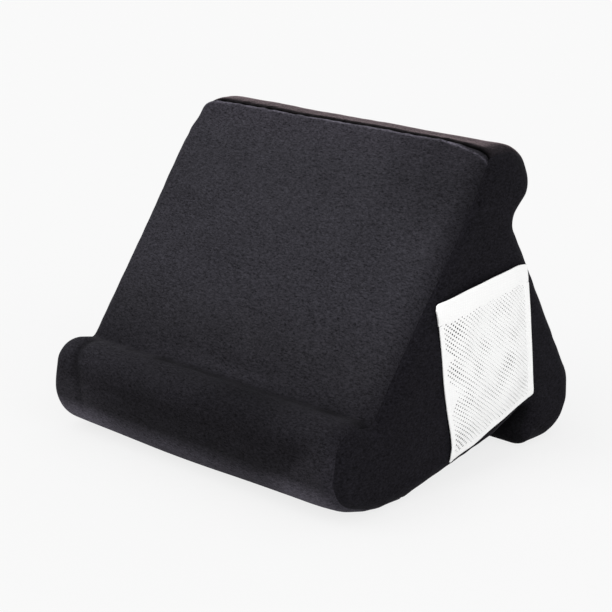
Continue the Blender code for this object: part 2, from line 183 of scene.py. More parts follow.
@dataclass(frozen=True)
class CrystalVelvet:
    """Crystal velvet: a knitted polyester cloth with a brushed pile about 1.5 mm long, dyed black.

    The pile lies in small tufts that turn different ways, so that the eye sees short streaks,
    and it was stroked in patches, which look lighter or darker. The colour by height and the
    darker colour at the right end are painted light and shade, set where the cushion's form
    catches or loses light, and a painted light and shade attribute on the points adds more.
    At a grazing angle the fibre sides give a soft sheen with a brown-pink cast.
    """

    name: str
    colour_and_shade_by_height: tuple[tuple[float, str], ...]
    shaded_right_end: str
    nap: Nap
    tallest_mm: float = 240.0
    end_shade_mm: tuple[float, float] = (116.0, 147.0)
    end_shade_wander_mm: float = 16.0
    tuft_mm: float = 2.6
    tuft_contrast: float = 2.6
    fibre_mm: float = 1.1
    fibre_contrast: float = 1.6
    stroke_mm: float = 30.0
    stroke_contrast: float = 0.42
    relief_mm: float = 0.45
    relief_strength: float = 0.8
    least_lit: float = 0.15
    specular: float = 0.06
    sheen: float = 0.05
    end_sheen: float = 0.05
    sheen_roughness: float = 0.35
    sheen_tint: str = "#c9c5d2"

    def material(self) -> bpy.types.Material:
        """The finish as a node material.

        Returns:
            The material.
        """
        material, tree = new_tree(self.name)
        place = add_node(tree, "ShaderNodeTexCoord").outputs["Object"]
        napped = add_node(tree, "ShaderNodeMapping", {"Scale": self.nap.value}, {"Vector": place})
        tufts = add_node(tree, "ShaderNodeTexNoise", {
            "Scale": per_metre(self.tuft_mm), "Detail": 2.0, "Roughness": 0.6, "Distortion": 0.5,
        }, {"Vector": napped.outputs["Vector"]})
        fibres = add_node(tree, "ShaderNodeTexNoise", {
            "Scale": per_metre(self.fibre_mm), "Detail": 1.0, "Roughness": 0.6,
        }, {"Vector": napped.outputs["Vector"]})
        strokes = add_node(tree, "ShaderNodeTexNoise", {
            "Scale": per_metre(self.stroke_mm), "Detail": 3.0, "Roughness": 0.55, "Distortion": 0.4,
        }, {"Vector": place})
        split = add_node(tree, "ShaderNodeSeparateXYZ", links={"Vector": place})
        height = add_node(tree, "ShaderNodeMapRange", {"From Max": self.tallest_mm * MM},
                          {"Value": split.outputs["Z"]})
        # Painted light and shade by height, as each panel's ramp gives it.
        shaded_by_height = add_node(tree, "ShaderNodeValToRGB", {
            "stops": [(height_mm / self.tallest_mm, colour) for height_mm, colour in self.colour_and_shade_by_height],
        }, {"Fac": height.outputs["Result"]})
        # Painted shade: the colour darkens towards the right end, and the sheen fades there too.
        wandered = add_node(tree, "ShaderNodeMath", {
            "operation": "MULTIPLY_ADD", 1: self.end_shade_wander_mm * MM,
        }, {0: strokes.outputs["Fac"], 2: split.outputs["X"]})
        shift = self.end_shade_wander_mm / 2
        near_end = add_node(tree, "ShaderNodeMapRange", {
            "interpolation_type": "SMOOTHSTEP", "From Min": (self.end_shade_mm[0] + shift) * MM,
            "From Max": (self.end_shade_mm[1] + shift) * MM,
        }, {"Value": wandered.outputs["Value"]})
        pile = add_node(tree, "ShaderNodeMix", {"data_type": "RGBA", 7: linear(self.shaded_right_end)},
                        {0: near_end.outputs["Result"], 6: shaded_by_height.outputs["Color"]})
        shade = 1 - (self.tuft_contrast + self.fibre_contrast + self.stroke_contrast) / 2
        for contrast, noise in ((self.tuft_contrast, tufts), (self.fibre_contrast, fibres),
                                (self.stroke_contrast, strokes)):
            step = add_node(tree, "ShaderNodeMath", {"operation": "MULTIPLY_ADD", 1: contrast},
                            {0: noise.outputs["Fac"]})
            if isinstance(shade, float):
                step.inputs[2].default_value = shade
            else:
                tree.links.new(shade, step.inputs[2])
            shade = step.outputs["Value"]
        lit = add_node(tree, "ShaderNodeMath", {"operation": "MAXIMUM", 1: self.least_lit}, {0: shade})
        # Painted light and shade from the points' attribute: the colour and the sheen weight are scaled by
        # one plus it.
        brushed = add_node(tree, "ShaderNodeAttribute", {"attribute_name": PAINTED_LIGHT_SHADE})
        painted_light = add_node(tree, "ShaderNodeMath", {"operation": "MULTIPLY_ADD"},
                       {0: brushed.outputs["Fac"], 1: lit.outputs["Value"], 2: lit.outputs["Value"]})
        colour = add_node(tree, "ShaderNodeVectorMath", {"operation": "SCALE"},
                          {0: pile.outputs[2], "Scale": painted_light.outputs["Value"]})
        fading = add_node(tree, "ShaderNodeMapRange", {"To Min": self.sheen, "To Max": self.end_sheen},
                          {"Value": near_end.outputs["Result"]})
        sheen = add_node(tree, "ShaderNodeMath", {"operation": "MULTIPLY_ADD", "use_clamp": True},
                         {0: brushed.outputs["Fac"], 1: fading.outputs["Result"],
                          2: fading.outputs["Result"]})
        bump = add_node(tree, "ShaderNodeBump", {
            "Strength": self.relief_strength, "Distance": self.relief_mm * MM,
        }, {"Height": tufts.outputs["Fac"]})
        shader = add_node(tree, "ShaderNodeBsdfPrincipled", {
            "Roughness": 1.0, "IOR": 1.5, "Specular IOR Level": self.specular,
            "Sheen Roughness": self.sheen_roughness, "Sheen Tint": linear(self.sheen_tint),
        }, {
            "Base Color": colour.outputs["Vector"], "Normal": bump.outputs["Normal"],
            "Sheen Weight": sheen.outputs["Value"],
        })
        add_node(tree, "ShaderNodeOutputMaterial", links={"Surface": shader.outputs["BSDF"]})
        return material


@dataclass(frozen=True)
class PolyurethaneFoam:
    """Cut polyurethane foam: off-white, with open cells near 1 mm that look like fine sponge."""

    name: str = "polyurethane_foam"
    wall: str = "#e9e3cf"
    # The cell colour, darker than the walls, is painted shade in the open cells.
    cell: str = "#b9ad8c"
    cell_mm: float = 1.2
    relief_mm: float = 0.4
    relief_strength: float = 0.7

    def material(self) -> bpy.types.Material:
        """The finish as a node material.

        Returns:
            The material.
        """
        material, tree = new_tree(self.name)
        place = add_node(tree, "ShaderNodeTexCoord").outputs["Object"]
        cells = add_node(tree, "ShaderNodeTexVoronoi", {"Scale": per_metre(self.cell_mm)},
                         {"Vector": place})
        # Painted shade in the middle of each cell.
        colour = add_node(tree, "ShaderNodeValToRGB", {"stops": [(0.0, self.cell), (0.5, self.wall)]},
                          {"Fac": cells.outputs["Distance"]})
        bump = add_node(tree, "ShaderNodeBump", {
            "Strength": self.relief_strength, "Distance": self.relief_mm * MM,
        }, {"Height": cells.outputs["Distance"]})
        shader = add_node(tree, "ShaderNodeBsdfPrincipled", {"Roughness": 0.95, "IOR": 1.45},
                          {"Base Color": colour.outputs["Color"], "Normal": bump.outputs["Normal"]})
        add_node(tree, "ShaderNodeOutputMaterial", links={"Surface": shader.outputs["BSDF"]})
        return material


@dataclass(frozen=True)
class WhiteThread:
    """White polyester yarn, knitted or woven: matt, with a faint relief of the yarn itself.

    Yarns are 0.3 to 0.6 mm thick, finer than the render shows, so the relief is drawn at
    yarn_mm, about twice as coarse.
    """

    name: str
    yarn: str
    # The colour between the yarns, a painted shade.
    hollow: str
    yarn_mm: float = 0.9
    soil_mm: float = 16.0
    soil_share: float = 0.35
    relief_mm: float = 0.10
    relief_strength: float = 0.5
    roughness: float = 0.62
    sheen: float = 0.1

    def material(self) -> bpy.types.Material:
        """The finish as a node material.

        Returns:
            The material.
        """
        material, tree = new_tree(self.name)
        place = add_node(tree, "ShaderNodeTexCoord").outputs["Object"]
        waves_by_way = [
            add_node(tree, "ShaderNodeTexWave", {
                "bands_direction": way, "Scale": per_metre(self.yarn_mm) / (2 * math.pi), "Distortion": 0.6,
                "Detail": 1.0,
            }, {"Vector": place}) for way in ("Z", "Y")
        ]
        crossed = add_node(tree, "ShaderNodeMath", {"operation": "MULTIPLY"},
                           {0: waves_by_way[0].outputs["Fac"], 1: waves_by_way[1].outputs["Fac"]})
        soil = add_node(tree, "ShaderNodeTexNoise", {"Scale": per_metre(self.soil_mm), "Detail": 2.0},
                        {"Vector": place})
        shade = add_node(tree, "ShaderNodeMath", {"operation": "MULTIPLY_ADD", 1: self.soil_share},
                         {0: soil.outputs["Fac"], 2: crossed.outputs["Value"]})
        # Painted shade: the hollows between the yarns take the darker hollow colour.
        colour = add_node(tree, "ShaderNodeValToRGB", {"stops": [(0.05, self.hollow), (0.55, self.yarn)]},
                          {"Fac": shade.outputs["Value"]})
        bump = add_node(tree, "ShaderNodeBump", {
            "Strength": self.relief_strength, "Distance": self.relief_mm * MM,
        }, {"Height": crossed.outputs["Value"]})
        shader = add_node(tree, "ShaderNodeBsdfPrincipled", {
            "Roughness": self.roughness, "IOR": 1.5, "Sheen Weight": self.sheen, "Sheen Roughness": 0.5,
        }, {"Base Color": colour.outputs["Color"], "Normal": bump.outputs["Normal"]})
        add_node(tree, "ShaderNodeOutputMaterial", links={"Surface": shader.outputs["BSDF"]})
        return material


# The panels are copies of one black velvet, each with painted light and shade in its colour:
# darker on the end panels, on the base and in the foot's hollow, and low on the lip's front,
# lighter along the lip's bottom edge and towards the top. The first number of each pair is a
# height in millimetres.
VELVET_FRONT = CrystalVelvet("crystal_velvet_front", (
    (0, "#3a383e"), (17, "#343238"), (30, "#19181b"), (48, "#161518"), (62, "#201f23"), (74, "#242327"),
    (92, "#28272b"), (122, "#2e2d32"), (205, "#302f34"), (232, "#353339"),
), "#19181c", Nap.ACROSS)
VELVET_REAR = CrystalVelvet("crystal_velvet_rear", (
    (0, "#161518"), (190, "#1c1b1e"), (222, "#211e21"), (230, "#282427"),
), "#17161a", Nap.ACROSS, end_shade_mm=(122.0, 151.0), sheen=0.95, end_sheen=0.05, sheen_roughness=0.20,
    sheen_tint="#d6bfc4")
VELVET_BASE = CrystalVelvet("crystal_velvet_base", ((0, "#161518"), (60, "#050506")), "#0f0f11", Nap.ACROSS)
VELVET_END = CrystalVelvet("crystal_velvet_end", (
    (0, "#151417"), (70, "#17161a"), (120, "#1b1a1f"), (175, "#1a191e"), (215, "#131215"),
), "#17161a", Nap.DOWN)
FOAM = PolyurethaneFoam()
KNITTED_NET = WhiteThread("knitted_net", "#fbfbfa", "#f4f4f4", yarn_mm=0.8)
WOVEN_TAPE = WhiteThread("woven_tape", "#fcfcfb", "#f8f8f8", yarn_mm=0.9)
FLAT_ELASTIC = WhiteThread("flat_elastic", "#f1f1ee", "#dadad6", yarn_mm=1.1, relief_mm=0.3)
SEWING_THREAD = WhiteThread("sewing_thread", "#fcfcfb", "#f4f4f4", yarn_mm=0.7)


# Meshes


def unit(vectors: np.ndarray) -> np.ndarray:
    """The vectors at length 1."""
    return vectors / np.maximum(np.linalg.norm(vectors, axis=-1, keepdims=True), 1e-12)


def smooth_step(values: np.ndarray | float) -> np.ndarray:
    """A smooth rise from 0 to 1."""
    share = np.clip(values, 0, 1)
    return share * share * (3 - 2 * share)


@dataclass(frozen=True)
class SoftStep:
    """A soft step from 0 to 1 along a measure."""

    start: float
    length: float

    def at(self, values: np.ndarray) -> np.ndarray:
        """The step's height, from 0 to 1.

        Args:
            values: the measure at each point.

        Returns:
            The height at each.
        """
        return smooth_step((values - self.start) / self.length)


@dataclass(frozen=True)
class SoftBand:
    """A soft band about one place on a measure."""

    strength: float
    place: float
    reach: float

    def over(self, values: np.ndarray) -> np.ndarray:
        """How strong the band is.

        Args:
            values: the measure at each point.

        Returns:
            The band's own strength in its middle, and next to nothing two reaches away.
        """
        return self.strength * np.exp(-((values - self.place) / self.reach) ** 2)


def waves(places: np.ndarray, longest: float, seed: int, count: int = 10) -> np.ndarray:
    """A smooth random field, made of sine waves in random directions.

    Args:
        places: points in metres, one a row, of any dimension.
        longest: the longest wavelength in metres; the shortest is 0.4 of it.
        seed: what the random directions start from.
        count: how many waves.

    Returns:
        One value a point, mostly between -1 and 1.
    """
    draw = np.random.default_rng(seed)
    total = np.zeros(places.shape[:-1])
    for _ in range(count):
        direction = unit(draw.normal(size=places.shape[-1]))
        length = longest * draw.uniform(0.4, 1.0)
        phase = draw.uniform(0, 2 * math.pi)
        total += np.sin(2 * math.pi * (places @ direction) / length + phase)
    return total / math.sqrt(count)


def grid_normals(grid: np.ndarray) -> np.ndarray:
    """The normals of a grid of points.

    Args:
        grid: the points.

    Returns:
        The normals, out of the cushion for rows that run as the wrap's do.
    """
    along = np.gradient(grid, axis=1)
    across = np.gradient(grid, axis=0)
    return unit(np.cross(across, along))


def grid_faces(rows: int, columns: int, first: int = 0, closed: bool = False) -> list[tuple[int, ...]]:
    """The quads of a grid of points that is stored row by row.

    Args:
        rows: how many rows.
        columns: how many points a row has.
        first: the number of the grid's first point.
        closed: whether each row's last point joins its first.

    Returns:
        The faces.
    """
    faces = []
    for row in range(rows - 1):
        low = first + row * columns
        high = low + columns
        for column in range(columns if closed else columns - 1):
            after = (column + 1) % columns
            faces.append((low + column, low + after, high + after, high + column))
    return faces


def piece(name: str, points: np.ndarray, faces: list, finish: bpy.types.Material, slot: Slot,
          *nodes: str) -> bpy.types.Object:
    """Makes a shown piece that rides on the stand and stands for CAD nodes.

    Args:
        name: the piece's name.
        points: its vertices, in metres in the row frame.
        faces: its faces, as numbers of vertices.
        finish: its material.
        slot: the record's material slot; not used.
        *nodes: the CAD nodes that it replaces.

    Returns:
        The object.
    """
    mesh = bpy.data.meshes.new(name)
    mesh.from_pydata(np.asarray(points).reshape(-1, 3).tolist(), [], faces)
    mesh.materials.append(finish)
    made = bpy.data.objects.new(name, mesh)
    bpy.context.scene.collection.objects.link(made)
    mesh.shade_smooth()
    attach(made, BODY)
    if nodes:
        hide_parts(*nodes)
    return made


def capped_faces(rows: int, columns: int, first: int = 0) -> list[tuple[int, ...]]:
    """The faces of rings of points with a flat cap at each end.

    Args:
        rows: how many rings.
        columns: how many points in each.
        first: the first point's number.

    Returns:
        The faces.
    """
    last = first + rows * columns - 1
    start_cap = tuple(first + index for index in range(columns))
    end_cap = tuple(last - index for index in range(columns))
    return grid_faces(rows, columns, first, closed=True) + [start_cap, end_cap]


def walked_along(grid: np.ndarray, axis: int) -> np.ndarray:
    """How far each point of a grid is from the grid's first row or column, along the grid.

    Args:
        grid: the grid of points.
        axis: 0 to walk from row to row, 1 from column to column.

    Returns:
        The distances.
    """
    steps = np.linalg.norm(np.diff(grid, axis=axis), axis=2)
    start = np.zeros_like(steps.take([0], axis=axis))
    return np.concatenate((start, np.cumsum(steps, axis=axis)), axis=axis)


def near_tree(places: np.ndarray) -> KDTree:
    """A tree that finds the nearest of some places.

    Args:
        places: the places.

    Returns:
        The tree, which gives each place's number.
    """
    tree = KDTree(len(places))
    for number, place in enumerate(places):
        tree.insert(place, number)
    tree.balance()
    return tree


def face_outwards(made: bpy.types.Object) -> None:
    """Turns a closed mesh's faces to point out.

    Args:
        made: the piece.
    """
    builder = bmesh.new()
    builder.from_mesh(made.data)
    bmesh.ops.recalc_face_normals(builder, faces=builder.faces)
    builder.to_mesh(made.data)
    builder.free()


def thicken(made: bpy.types.Object, thickness: float, offset: float) -> None:
    """Gives a skin its thickness, with a crisp edge all round.

    Args:
        made: the piece.
        thickness: the thickness in metres.
        offset: -1 for inwards, 0 for both ways.
    """
    builder = bmesh.new()
    builder.from_mesh(made.data)
    for edge in builder.edges:
        edge.smooth = not edge.is_boundary
    builder.to_mesh(made.data)
    builder.free()
    modifier = made.modifiers.new("thickness", "SOLIDIFY")
    modifier.thickness = thickness
    modifier.offset = offset
    modifier.use_rim = True


# The side outline


@dataclass(frozen=True)
class Corner:
    """One corner of the side outline, with the radius that rounds it."""

    y: float
    z: float
    radius: float
    softness: float = 0.1
    is_seam: bool = False


@dataclass
class SideOutline:
    """The cushion's side outline, with its cross seams at the middle of three corners."""

    reading_face_length: float = 0.203
    reading_face_angle: float = math.radians(53.9)
    crease_height: float = 0.0655
    crease_radius: float = 0.005
    top_edge_radius: float = 0.003
    top_edge_softness: float = 0.8
    end_softness: float = 0.12
    ledge_depth: float = 0.0341
    ledge_rise: float = 0.0076
    lip_lean: float = 0.0105
    lip_top_radius: float = 0.0203
    lip_bottom_radius: float = 0.0317
    lip_underside_rise: float = 0.0085
    lip_underside_depth: float = 0.0546
    front_rest_depth: float = 0.0247
    front_rest_radius: float = 0.0395
    top_lobe_depth: float = 0.0458
    top_lobe_rise: float = -0.0006
    top_lobe_lean: float = 0.0046
    top_lobe_height: float = 0.0339
    top_lobe_radius: float = 0.0290
    top_lobe_under_radius: float = 0.0152
    rear_notch_depth: float = 0.0209
    rear_notch_height: float = 0.0197
    rear_notch_radius: float = 0.0085
    rear_face_angle: float = math.radians(59.5)
    foot_shoulder_height: float = 0.0465
    foot_shoulder_radius: float = 0.026
    foot_bulge: float = 0.0028
    foot_length: float = 0.0778
    foot_rear_radius: float = 0.0316
    foot_front_radius: float = 0.0122
    foot_hollow_depth: float = 0.025
    foot_hollow_height: float = 0.0335
    foot_hollow_radius: float = 0.0025
    base_sag: float = 0.0062
    base_sag_place: float = 0.697
    base_sag_radius: float = 0.060
    least_radius: float = 0.0008
    fine_step: float = 0.0007
    coarse_step: float = 0.0023
    turn_step: float = math.radians(5)
    growth: float = 1.22
    corners: dict[str, Corner] = field(init=False)

    def __post_init__(self) -> None:
        """Works out the corners from the sizes."""
        crease = (0.0, self.crease_height)
        top = (
            self.reading_face_length * math.cos(self.reading_face_angle),
            crease[1] + self.reading_face_length * math.sin(self.reading_face_angle),
        )
        lip_top = (-self.ledge_depth, crease[1] + self.ledge_rise)
        lip_bottom = (lip_top[0] - self.lip_lean, self.lip_underside_rise)
        rest_front = (lip_bottom[0] + self.lip_underside_depth, 0.0)
        rest_rear = (rest_front[0] + self.front_rest_depth, 0.0)
        lobe_top = (top[0] + self.top_lobe_depth, top[1] + self.top_lobe_rise)
        lobe_under = (lobe_top[0] + self.top_lobe_lean, lobe_top[1] - self.top_lobe_height)
        notch = (lobe_under[0] - self.rear_notch_depth, lobe_under[1] - self.rear_notch_height)
        rear_run = (notch[1] - self.foot_shoulder_height) / math.tan(self.rear_face_angle)
        shoulder = (notch[0] + rear_run, self.foot_shoulder_height)
        foot_rear = (shoulder[0] + self.foot_bulge, 0.0)
        foot_front = (foot_rear[0] - self.foot_length, 0.0)
        hollow = (foot_front[0] + self.foot_hollow_depth, self.foot_hollow_height)
        sag = (
            rest_rear[0] + self.base_sag_place * (hollow[0] - rest_rear[0]),
            rest_rear[1] + self.base_sag_place * (hollow[1] - rest_rear[1]) - self.base_sag,
        )
        self.corners = {
            "top": Corner(*top, self.top_edge_radius, self.top_edge_softness, is_seam=True),
            "crease": Corner(*crease, self.crease_radius),
            "lip_top": Corner(*lip_top, self.lip_top_radius),
            "lip_bottom": Corner(*lip_bottom, self.lip_bottom_radius),
            "rest_front": Corner(*rest_front, self.front_rest_radius),
            "rest_rear": Corner(*rest_rear, self.front_rest_radius, is_seam=True),
            "sag": Corner(*sag, self.base_sag_radius),
            "hollow": Corner(*hollow, self.foot_hollow_radius),
            "foot_front": Corner(*foot_front, self.foot_front_radius),
            "foot_rear": Corner(*foot_rear, self.foot_rear_radius),
            "shoulder": Corner(*shoulder, self.foot_shoulder_radius, self.end_softness, is_seam=True),
            "notch": Corner(*notch, self.rear_notch_radius),
            "lobe_under": Corner(*lobe_under, self.top_lobe_under_radius, self.end_softness),
            "lobe_top": Corner(*lobe_top, self.top_lobe_radius),
        }

    def corner_arc(self, name: str, inset: float) -> tuple[np.ndarray, np.ndarray, float, float]:
        """One corner's arc at an inset.

        Args:
            name: the corner's name.
            inset: how far the outline is set in.

        Returns:
            The arc's centre, its first spoke, its turn in radians and its radius.
        """
        names = list(self.corners)
        index = names.index(name)
        before = self.corners[names[index - 1]]
        here = self.corners[name]
        after = self.corners[names[(index + 1) % len(names)]]
        point = np.array((here.y, here.z))
        come = unit(point - np.array((before.y, before.z)))
        leave = unit(np.array((after.y, after.z)) - point)
        turn = math.atan2(come[0] * leave[1] - come[1] * leave[0], come @ leave)
        in_come = np.array((-come[1], come[0]))
        in_leave = np.array((-leave[1], leave[0]))
        mitre = (in_come + in_leave) / (1 + in_come @ in_leave)
        radius = here.radius + inset
        if turn > 0:
            radius = max(here.radius - inset, here.softness * inset, self.least_radius)
        start = point + mitre * inset - come * radius * math.tan(abs(turn) / 2)
        centre = start + in_come * radius * math.copysign(1, turn)
        return centre, start - centre, turn, radius

    def arc_count(self, name: str) -> int:
        """How many steps cut one corner's arc.

        Args:
            name: the corner's name.

        Returns:
            An even number, from the arc's length at no inset.
        """
        _, _, turn, radius = self.corner_arc(name, 0.0)
        step = self.fine_step if self.corners[name].is_seam else self.coarse_step
        by_length = abs(turn) * radius / step
        by_turn = abs(turn) / self.turn_step
        return 2 * max(2, math.ceil(max(by_length, by_turn) / 2))

    def run_shares(self, first: str, last: str) -> np.ndarray:
        """Where the points of a straight run lie, closer together near a seam.

        Args:
            first: the corner before the run.
            last: the corner after it.

        Returns:
            The points' places as shares of the run.
        """
        end = self.ring_arc(first, 0.0)[-1]
        start = self.ring_arc(last, 0.0)[0]
        length = float(np.linalg.norm(start - end))
        return graded_shares(
            length, self.coarse_step,
            self.fine_step if self.corners[first].is_seam else self.coarse_step,
            self.fine_step if self.corners[last].is_seam else self.coarse_step,
            self.growth)

    def ring_arc(self, name: str, inset: float) -> np.ndarray:
        """The points of one corner's arc.

        Args:
            name: the corner's name.
            inset: how far the outline is set in.

        Returns:
            The points.
        """
        centre, spoke, turn, _ = self.corner_arc(name, inset)
        angles = turn * np.linspace(0, 1, self.arc_count(name) + 1)
        cosine = np.cos(angles)
        sine = np.sin(angles)
        return centre + np.column_stack((
            spoke[0] * cosine - spoke[1] * sine,
            spoke[0] * sine + spoke[1] * cosine,
        ))

    def ring(self, inset: float) -> np.ndarray:
        """The closed outline, with the same number of points at every inset.

        Args:
            inset: how far the outline is set in.

        Returns:
            Its points.
        """
        names = list(self.corners)
        parts = []
        arcs = {name: self.ring_arc(name, inset) for name in names}
        for index, name in enumerate(names):
            after = names[(index + 1) % len(names)]
            parts.append(arcs[name])
            shares = self.run_shares(name, after)[1:-1, None]
            parts.append(arcs[name][-1] * (1 - shares) + arcs[after][0] * shares)
        return np.concatenate(parts)

    def middle(self, name: str) -> int:
        """Finds the ring's point in the middle of one corner.

        Args:
            name: the corner's name.

        Returns:
            The point's number.
        """
        count = 0
        names = list(self.corners)
        for index, other in enumerate(names):
            if other == name:
                return count + self.arc_count(other) // 2
            after = names[(index + 1) % len(names)]
            count += self.arc_count(other) + 1 + len(self.run_shares(other, after)) - 2
        raise KeyError(name)


def graded_shares(length: float, coarse: float, first: float, last: float, growth: float) -> np.ndarray:
    """Cuts a length into steps that are short at its ends, where wanted, and long in its middle.

    Args:
        length: the length to cut.
        coarse: the longest step.
        first: the step at the start.
        last: the step at the end.
        growth: how much longer each step may be than the one before.

    Returns:
        The cuts as shares of the length, from 0 to 1.
    """
    places = [0.0]
    while places[-1] < length:
        from_start = first + places[-1] * (growth - 1)
        from_end = last + (length - places[-1]) * (growth - 1)
        places.append(places[-1] + min(coarse, from_start, from_end))
    return np.array(places) / places[-1]


# The cover


@dataclass
class CushionForm:
    """The cushion's outer form: the outline along X, rounded at both ends, where the frame has it."""

    outline: SideOutline
    width: float = 0.290
    end_rounding: float = 0.0145
    left_top_droop: float = 0.0086
    right_top_droop: float = 0.0041
    droop_reach: float = 0.022
    droop_depth: float = 0.045
    droop_on_lobe: float = 0.6
    left_top_pull: float = 0.0040
    pull_depth: float = 0.026
    left_bulge: SoftBand = SoftBand(0.0017, 0.052, 0.036)
    lobe_depth: SoftStep = SoftStep(0.002, 0.012)
    lobe_height: SoftStep = SoftStep(-0.025, 0.020)
    left_lobe_rise: float = 0.0012
    lobe_rise_place: float = 0.020
    lobe_rise_reach: float = 0.120
    right_lip_rise: float = 0.0036
    left_lip_rise: float = 0.0010
    lip_rise_reach: float = 0.040
    lip_depth: SoftStep = SoftStep(0.0, 0.020)
    lip_height: SoftStep = SoftStep(0.0, 0.040)
    lip_bow: SoftBand = SoftBand(0.0021, -0.020, 0.070)
    left_ledge_rise: float = 0.0004
    ledge_depth: SoftStep = SoftStep(0.0, 0.010)
    ledge_height: SoftStep = SoftStep(0.045, 0.020)
    left_seam_slide: float = 0.0015
    right_seam_slide: float = 0.0062
    slide_reach: float = 0.048
    slide_length: float = 0.030
    inset_step: float = 0.00025
    place: np.ndarray = field(init=False)
    table: np.ndarray = field(init=False)
    around: np.ndarray = field(init=False)
    girth: float = field(init=False)

    def __post_init__(self) -> None:
        """Finds the form's place in the frame and tabulates the outline by inset."""
        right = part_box("right_end_panel")[1]
        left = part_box("left_end_panel")[0]
        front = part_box("front_wrap_panel")[0]
        steps = math.ceil(self.end_rounding / self.inset_step)
        self.table = np.array([self.outline.ring(self.end_rounding * k / steps) for k in range(steps + 1)])
        ring = self.table[0]
        self.place = np.array(((left.x + right.x) / 2, front.y - ring[:, 0].min(), 0.0))
        gaps = np.linalg.norm(np.roll(ring, -1, axis=0) - ring, axis=1)
        self.around = np.concatenate(([0.0], np.cumsum(gaps)[:-1]))
        self.girth = float(gaps.sum())

    def at_inset(self, columns: np.ndarray, insets: np.ndarray) -> np.ndarray:
        """The outline's points at some insets.

        Args:
            columns: which ring points, as whole numbers or between them.
            insets: the inset of each.

        Returns:
            The points in the outline's plane.
        """
        last = len(self.table) - 1
        share = np.clip(insets / self.end_rounding * last, 0, last)
        low = np.minimum(share.astype(int), last - 1)
        part = (share - low)[..., None]
        here = np.floor(columns).astype(int) % len(self.around)
        after = (here + 1) % len(self.around)
        step = (columns - np.floor(columns))[..., None]
        outer = self.table[low, here] * (1 - step) + self.table[low, after] * step
        inner = self.table[low + 1, here] * (1 - step) + self.table[low + 1, after] * step
        return outer * (1 - part) + inner * part

    def slid(self, columns: np.ndarray, x: np.ndarray | float) -> np.ndarray:
        """Where ring points lie once the top seam has slid forward at the cushion's two ends.

        Args:
            columns: which ring points.
            x: the place along the cushion.

        Returns:
            The points' places on the ring, between its whole numbers.
        """
        top = self.around[self.outline.middle("top")]
        from_top = (self.around[columns] - top + self.girth / 2) % self.girth - self.girth / 2
        most = np.where(np.asarray(x) > 0, self.right_seam_slide, self.left_seam_slide)
        near_end = smooth_step((np.abs(x) - self.width / 2 + self.slide_reach) / self.slide_reach)
        slide = most * near_end * np.exp(-(from_top / self.slide_length) ** 2)
        places = np.append(self.around, self.girth)
        return np.interp((self.around[columns] + slide) % self.girth, places, np.arange(len(places)))

    def on_end(self, columns: np.ndarray, turns: np.ndarray, side: Side) -> np.ndarray:
        """Points on one end's quarter-round.

        Args:
            columns: which ring points.
            turns: the turn of each: 0 on the end's flat, a quarter turn where the wrap is straight.
            side: which end.

        Returns:
            The points in the form's own frame.
        """
        x = self.width / 2 - self.end_rounding + self.end_rounding * np.cos(turns)
        yz = self.at_inset(self.slid(columns, side.value * x), self.end_rounding * (1 - np.sin(turns)))
        return np.concatenate((side.value * x[..., None], yz), axis=-1)

    def near_end(self, x: np.ndarray, reach: float) -> np.ndarray:
        """How near places along the cushion are to its two ends.

        Args:
            x: the places along the cushion.
            reach: how far in from the ends it starts.

        Returns:
            0 inside the reach and 1 at the ends.
        """
        return np.clip((np.abs(x) - (self.width / 2 - reach)) / reach, 0, 1)

    def drooped(self, points: np.ndarray) -> np.ndarray:
        """Lets the top edge's ends drop and the lip's underside bow, as sewn covers do.

        Args:
            points: points of the form's own frame.

        Returns:
            The points moved.
        """
        top = self.outline.corners["top"]
        angle = self.outline.reading_face_angle
        down = np.array((0.0, -math.cos(angle), -math.sin(angle)))
        x, y, z = np.moveaxis(points, -1, 0)
        is_left = x < 0
        near_end = self.near_end(x, self.droop_reach)
        from_top = (points[..., 1:] - np.array((top.y, top.z))) @ down[1:]
        near_top = 1 - smooth_step(from_top / self.droop_depth)
        on_lobe = self.lobe_depth.at(y - top.y) * self.lobe_height.at(z - top.z)
        most = np.where(is_left, self.left_top_droop, self.right_top_droop)
        drop = most * near_top * near_end ** 2 * (1 - (1 - self.droop_on_lobe) * on_lobe)
        pull = self.left_top_pull * (1 - smooth_step(np.abs(from_top) / self.pull_depth))
        pull -= self.left_bulge.over(from_top)
        under_lip = self.lip_depth.at(-y) * (1 - self.lip_height.at(z))
        on_ledge = self.ledge_depth.at(-y) * self.ledge_height.at(z)
        lip_rise = np.where(is_left, self.left_lip_rise, self.right_lip_rise)
        rise = under_lip * (lip_rise * self.near_end(x, self.lip_rise_reach) ** 2 - self.lip_bow.over(x))
        rise += is_left * near_end * on_ledge * self.left_ledge_rise
        by_left = smooth_step((self.lobe_rise_place - x) / self.lobe_rise_reach)
        rise += self.left_lobe_rise * on_lobe * by_left
        aside = np.stack((is_left * near_end * pull, np.zeros_like(x), rise), axis=-1)
        return points + drop[..., None] * down + aside

    def placed(self, points: np.ndarray) -> np.ndarray:
        """Points of the form's own frame, in the row frame."""
        return points + self.place


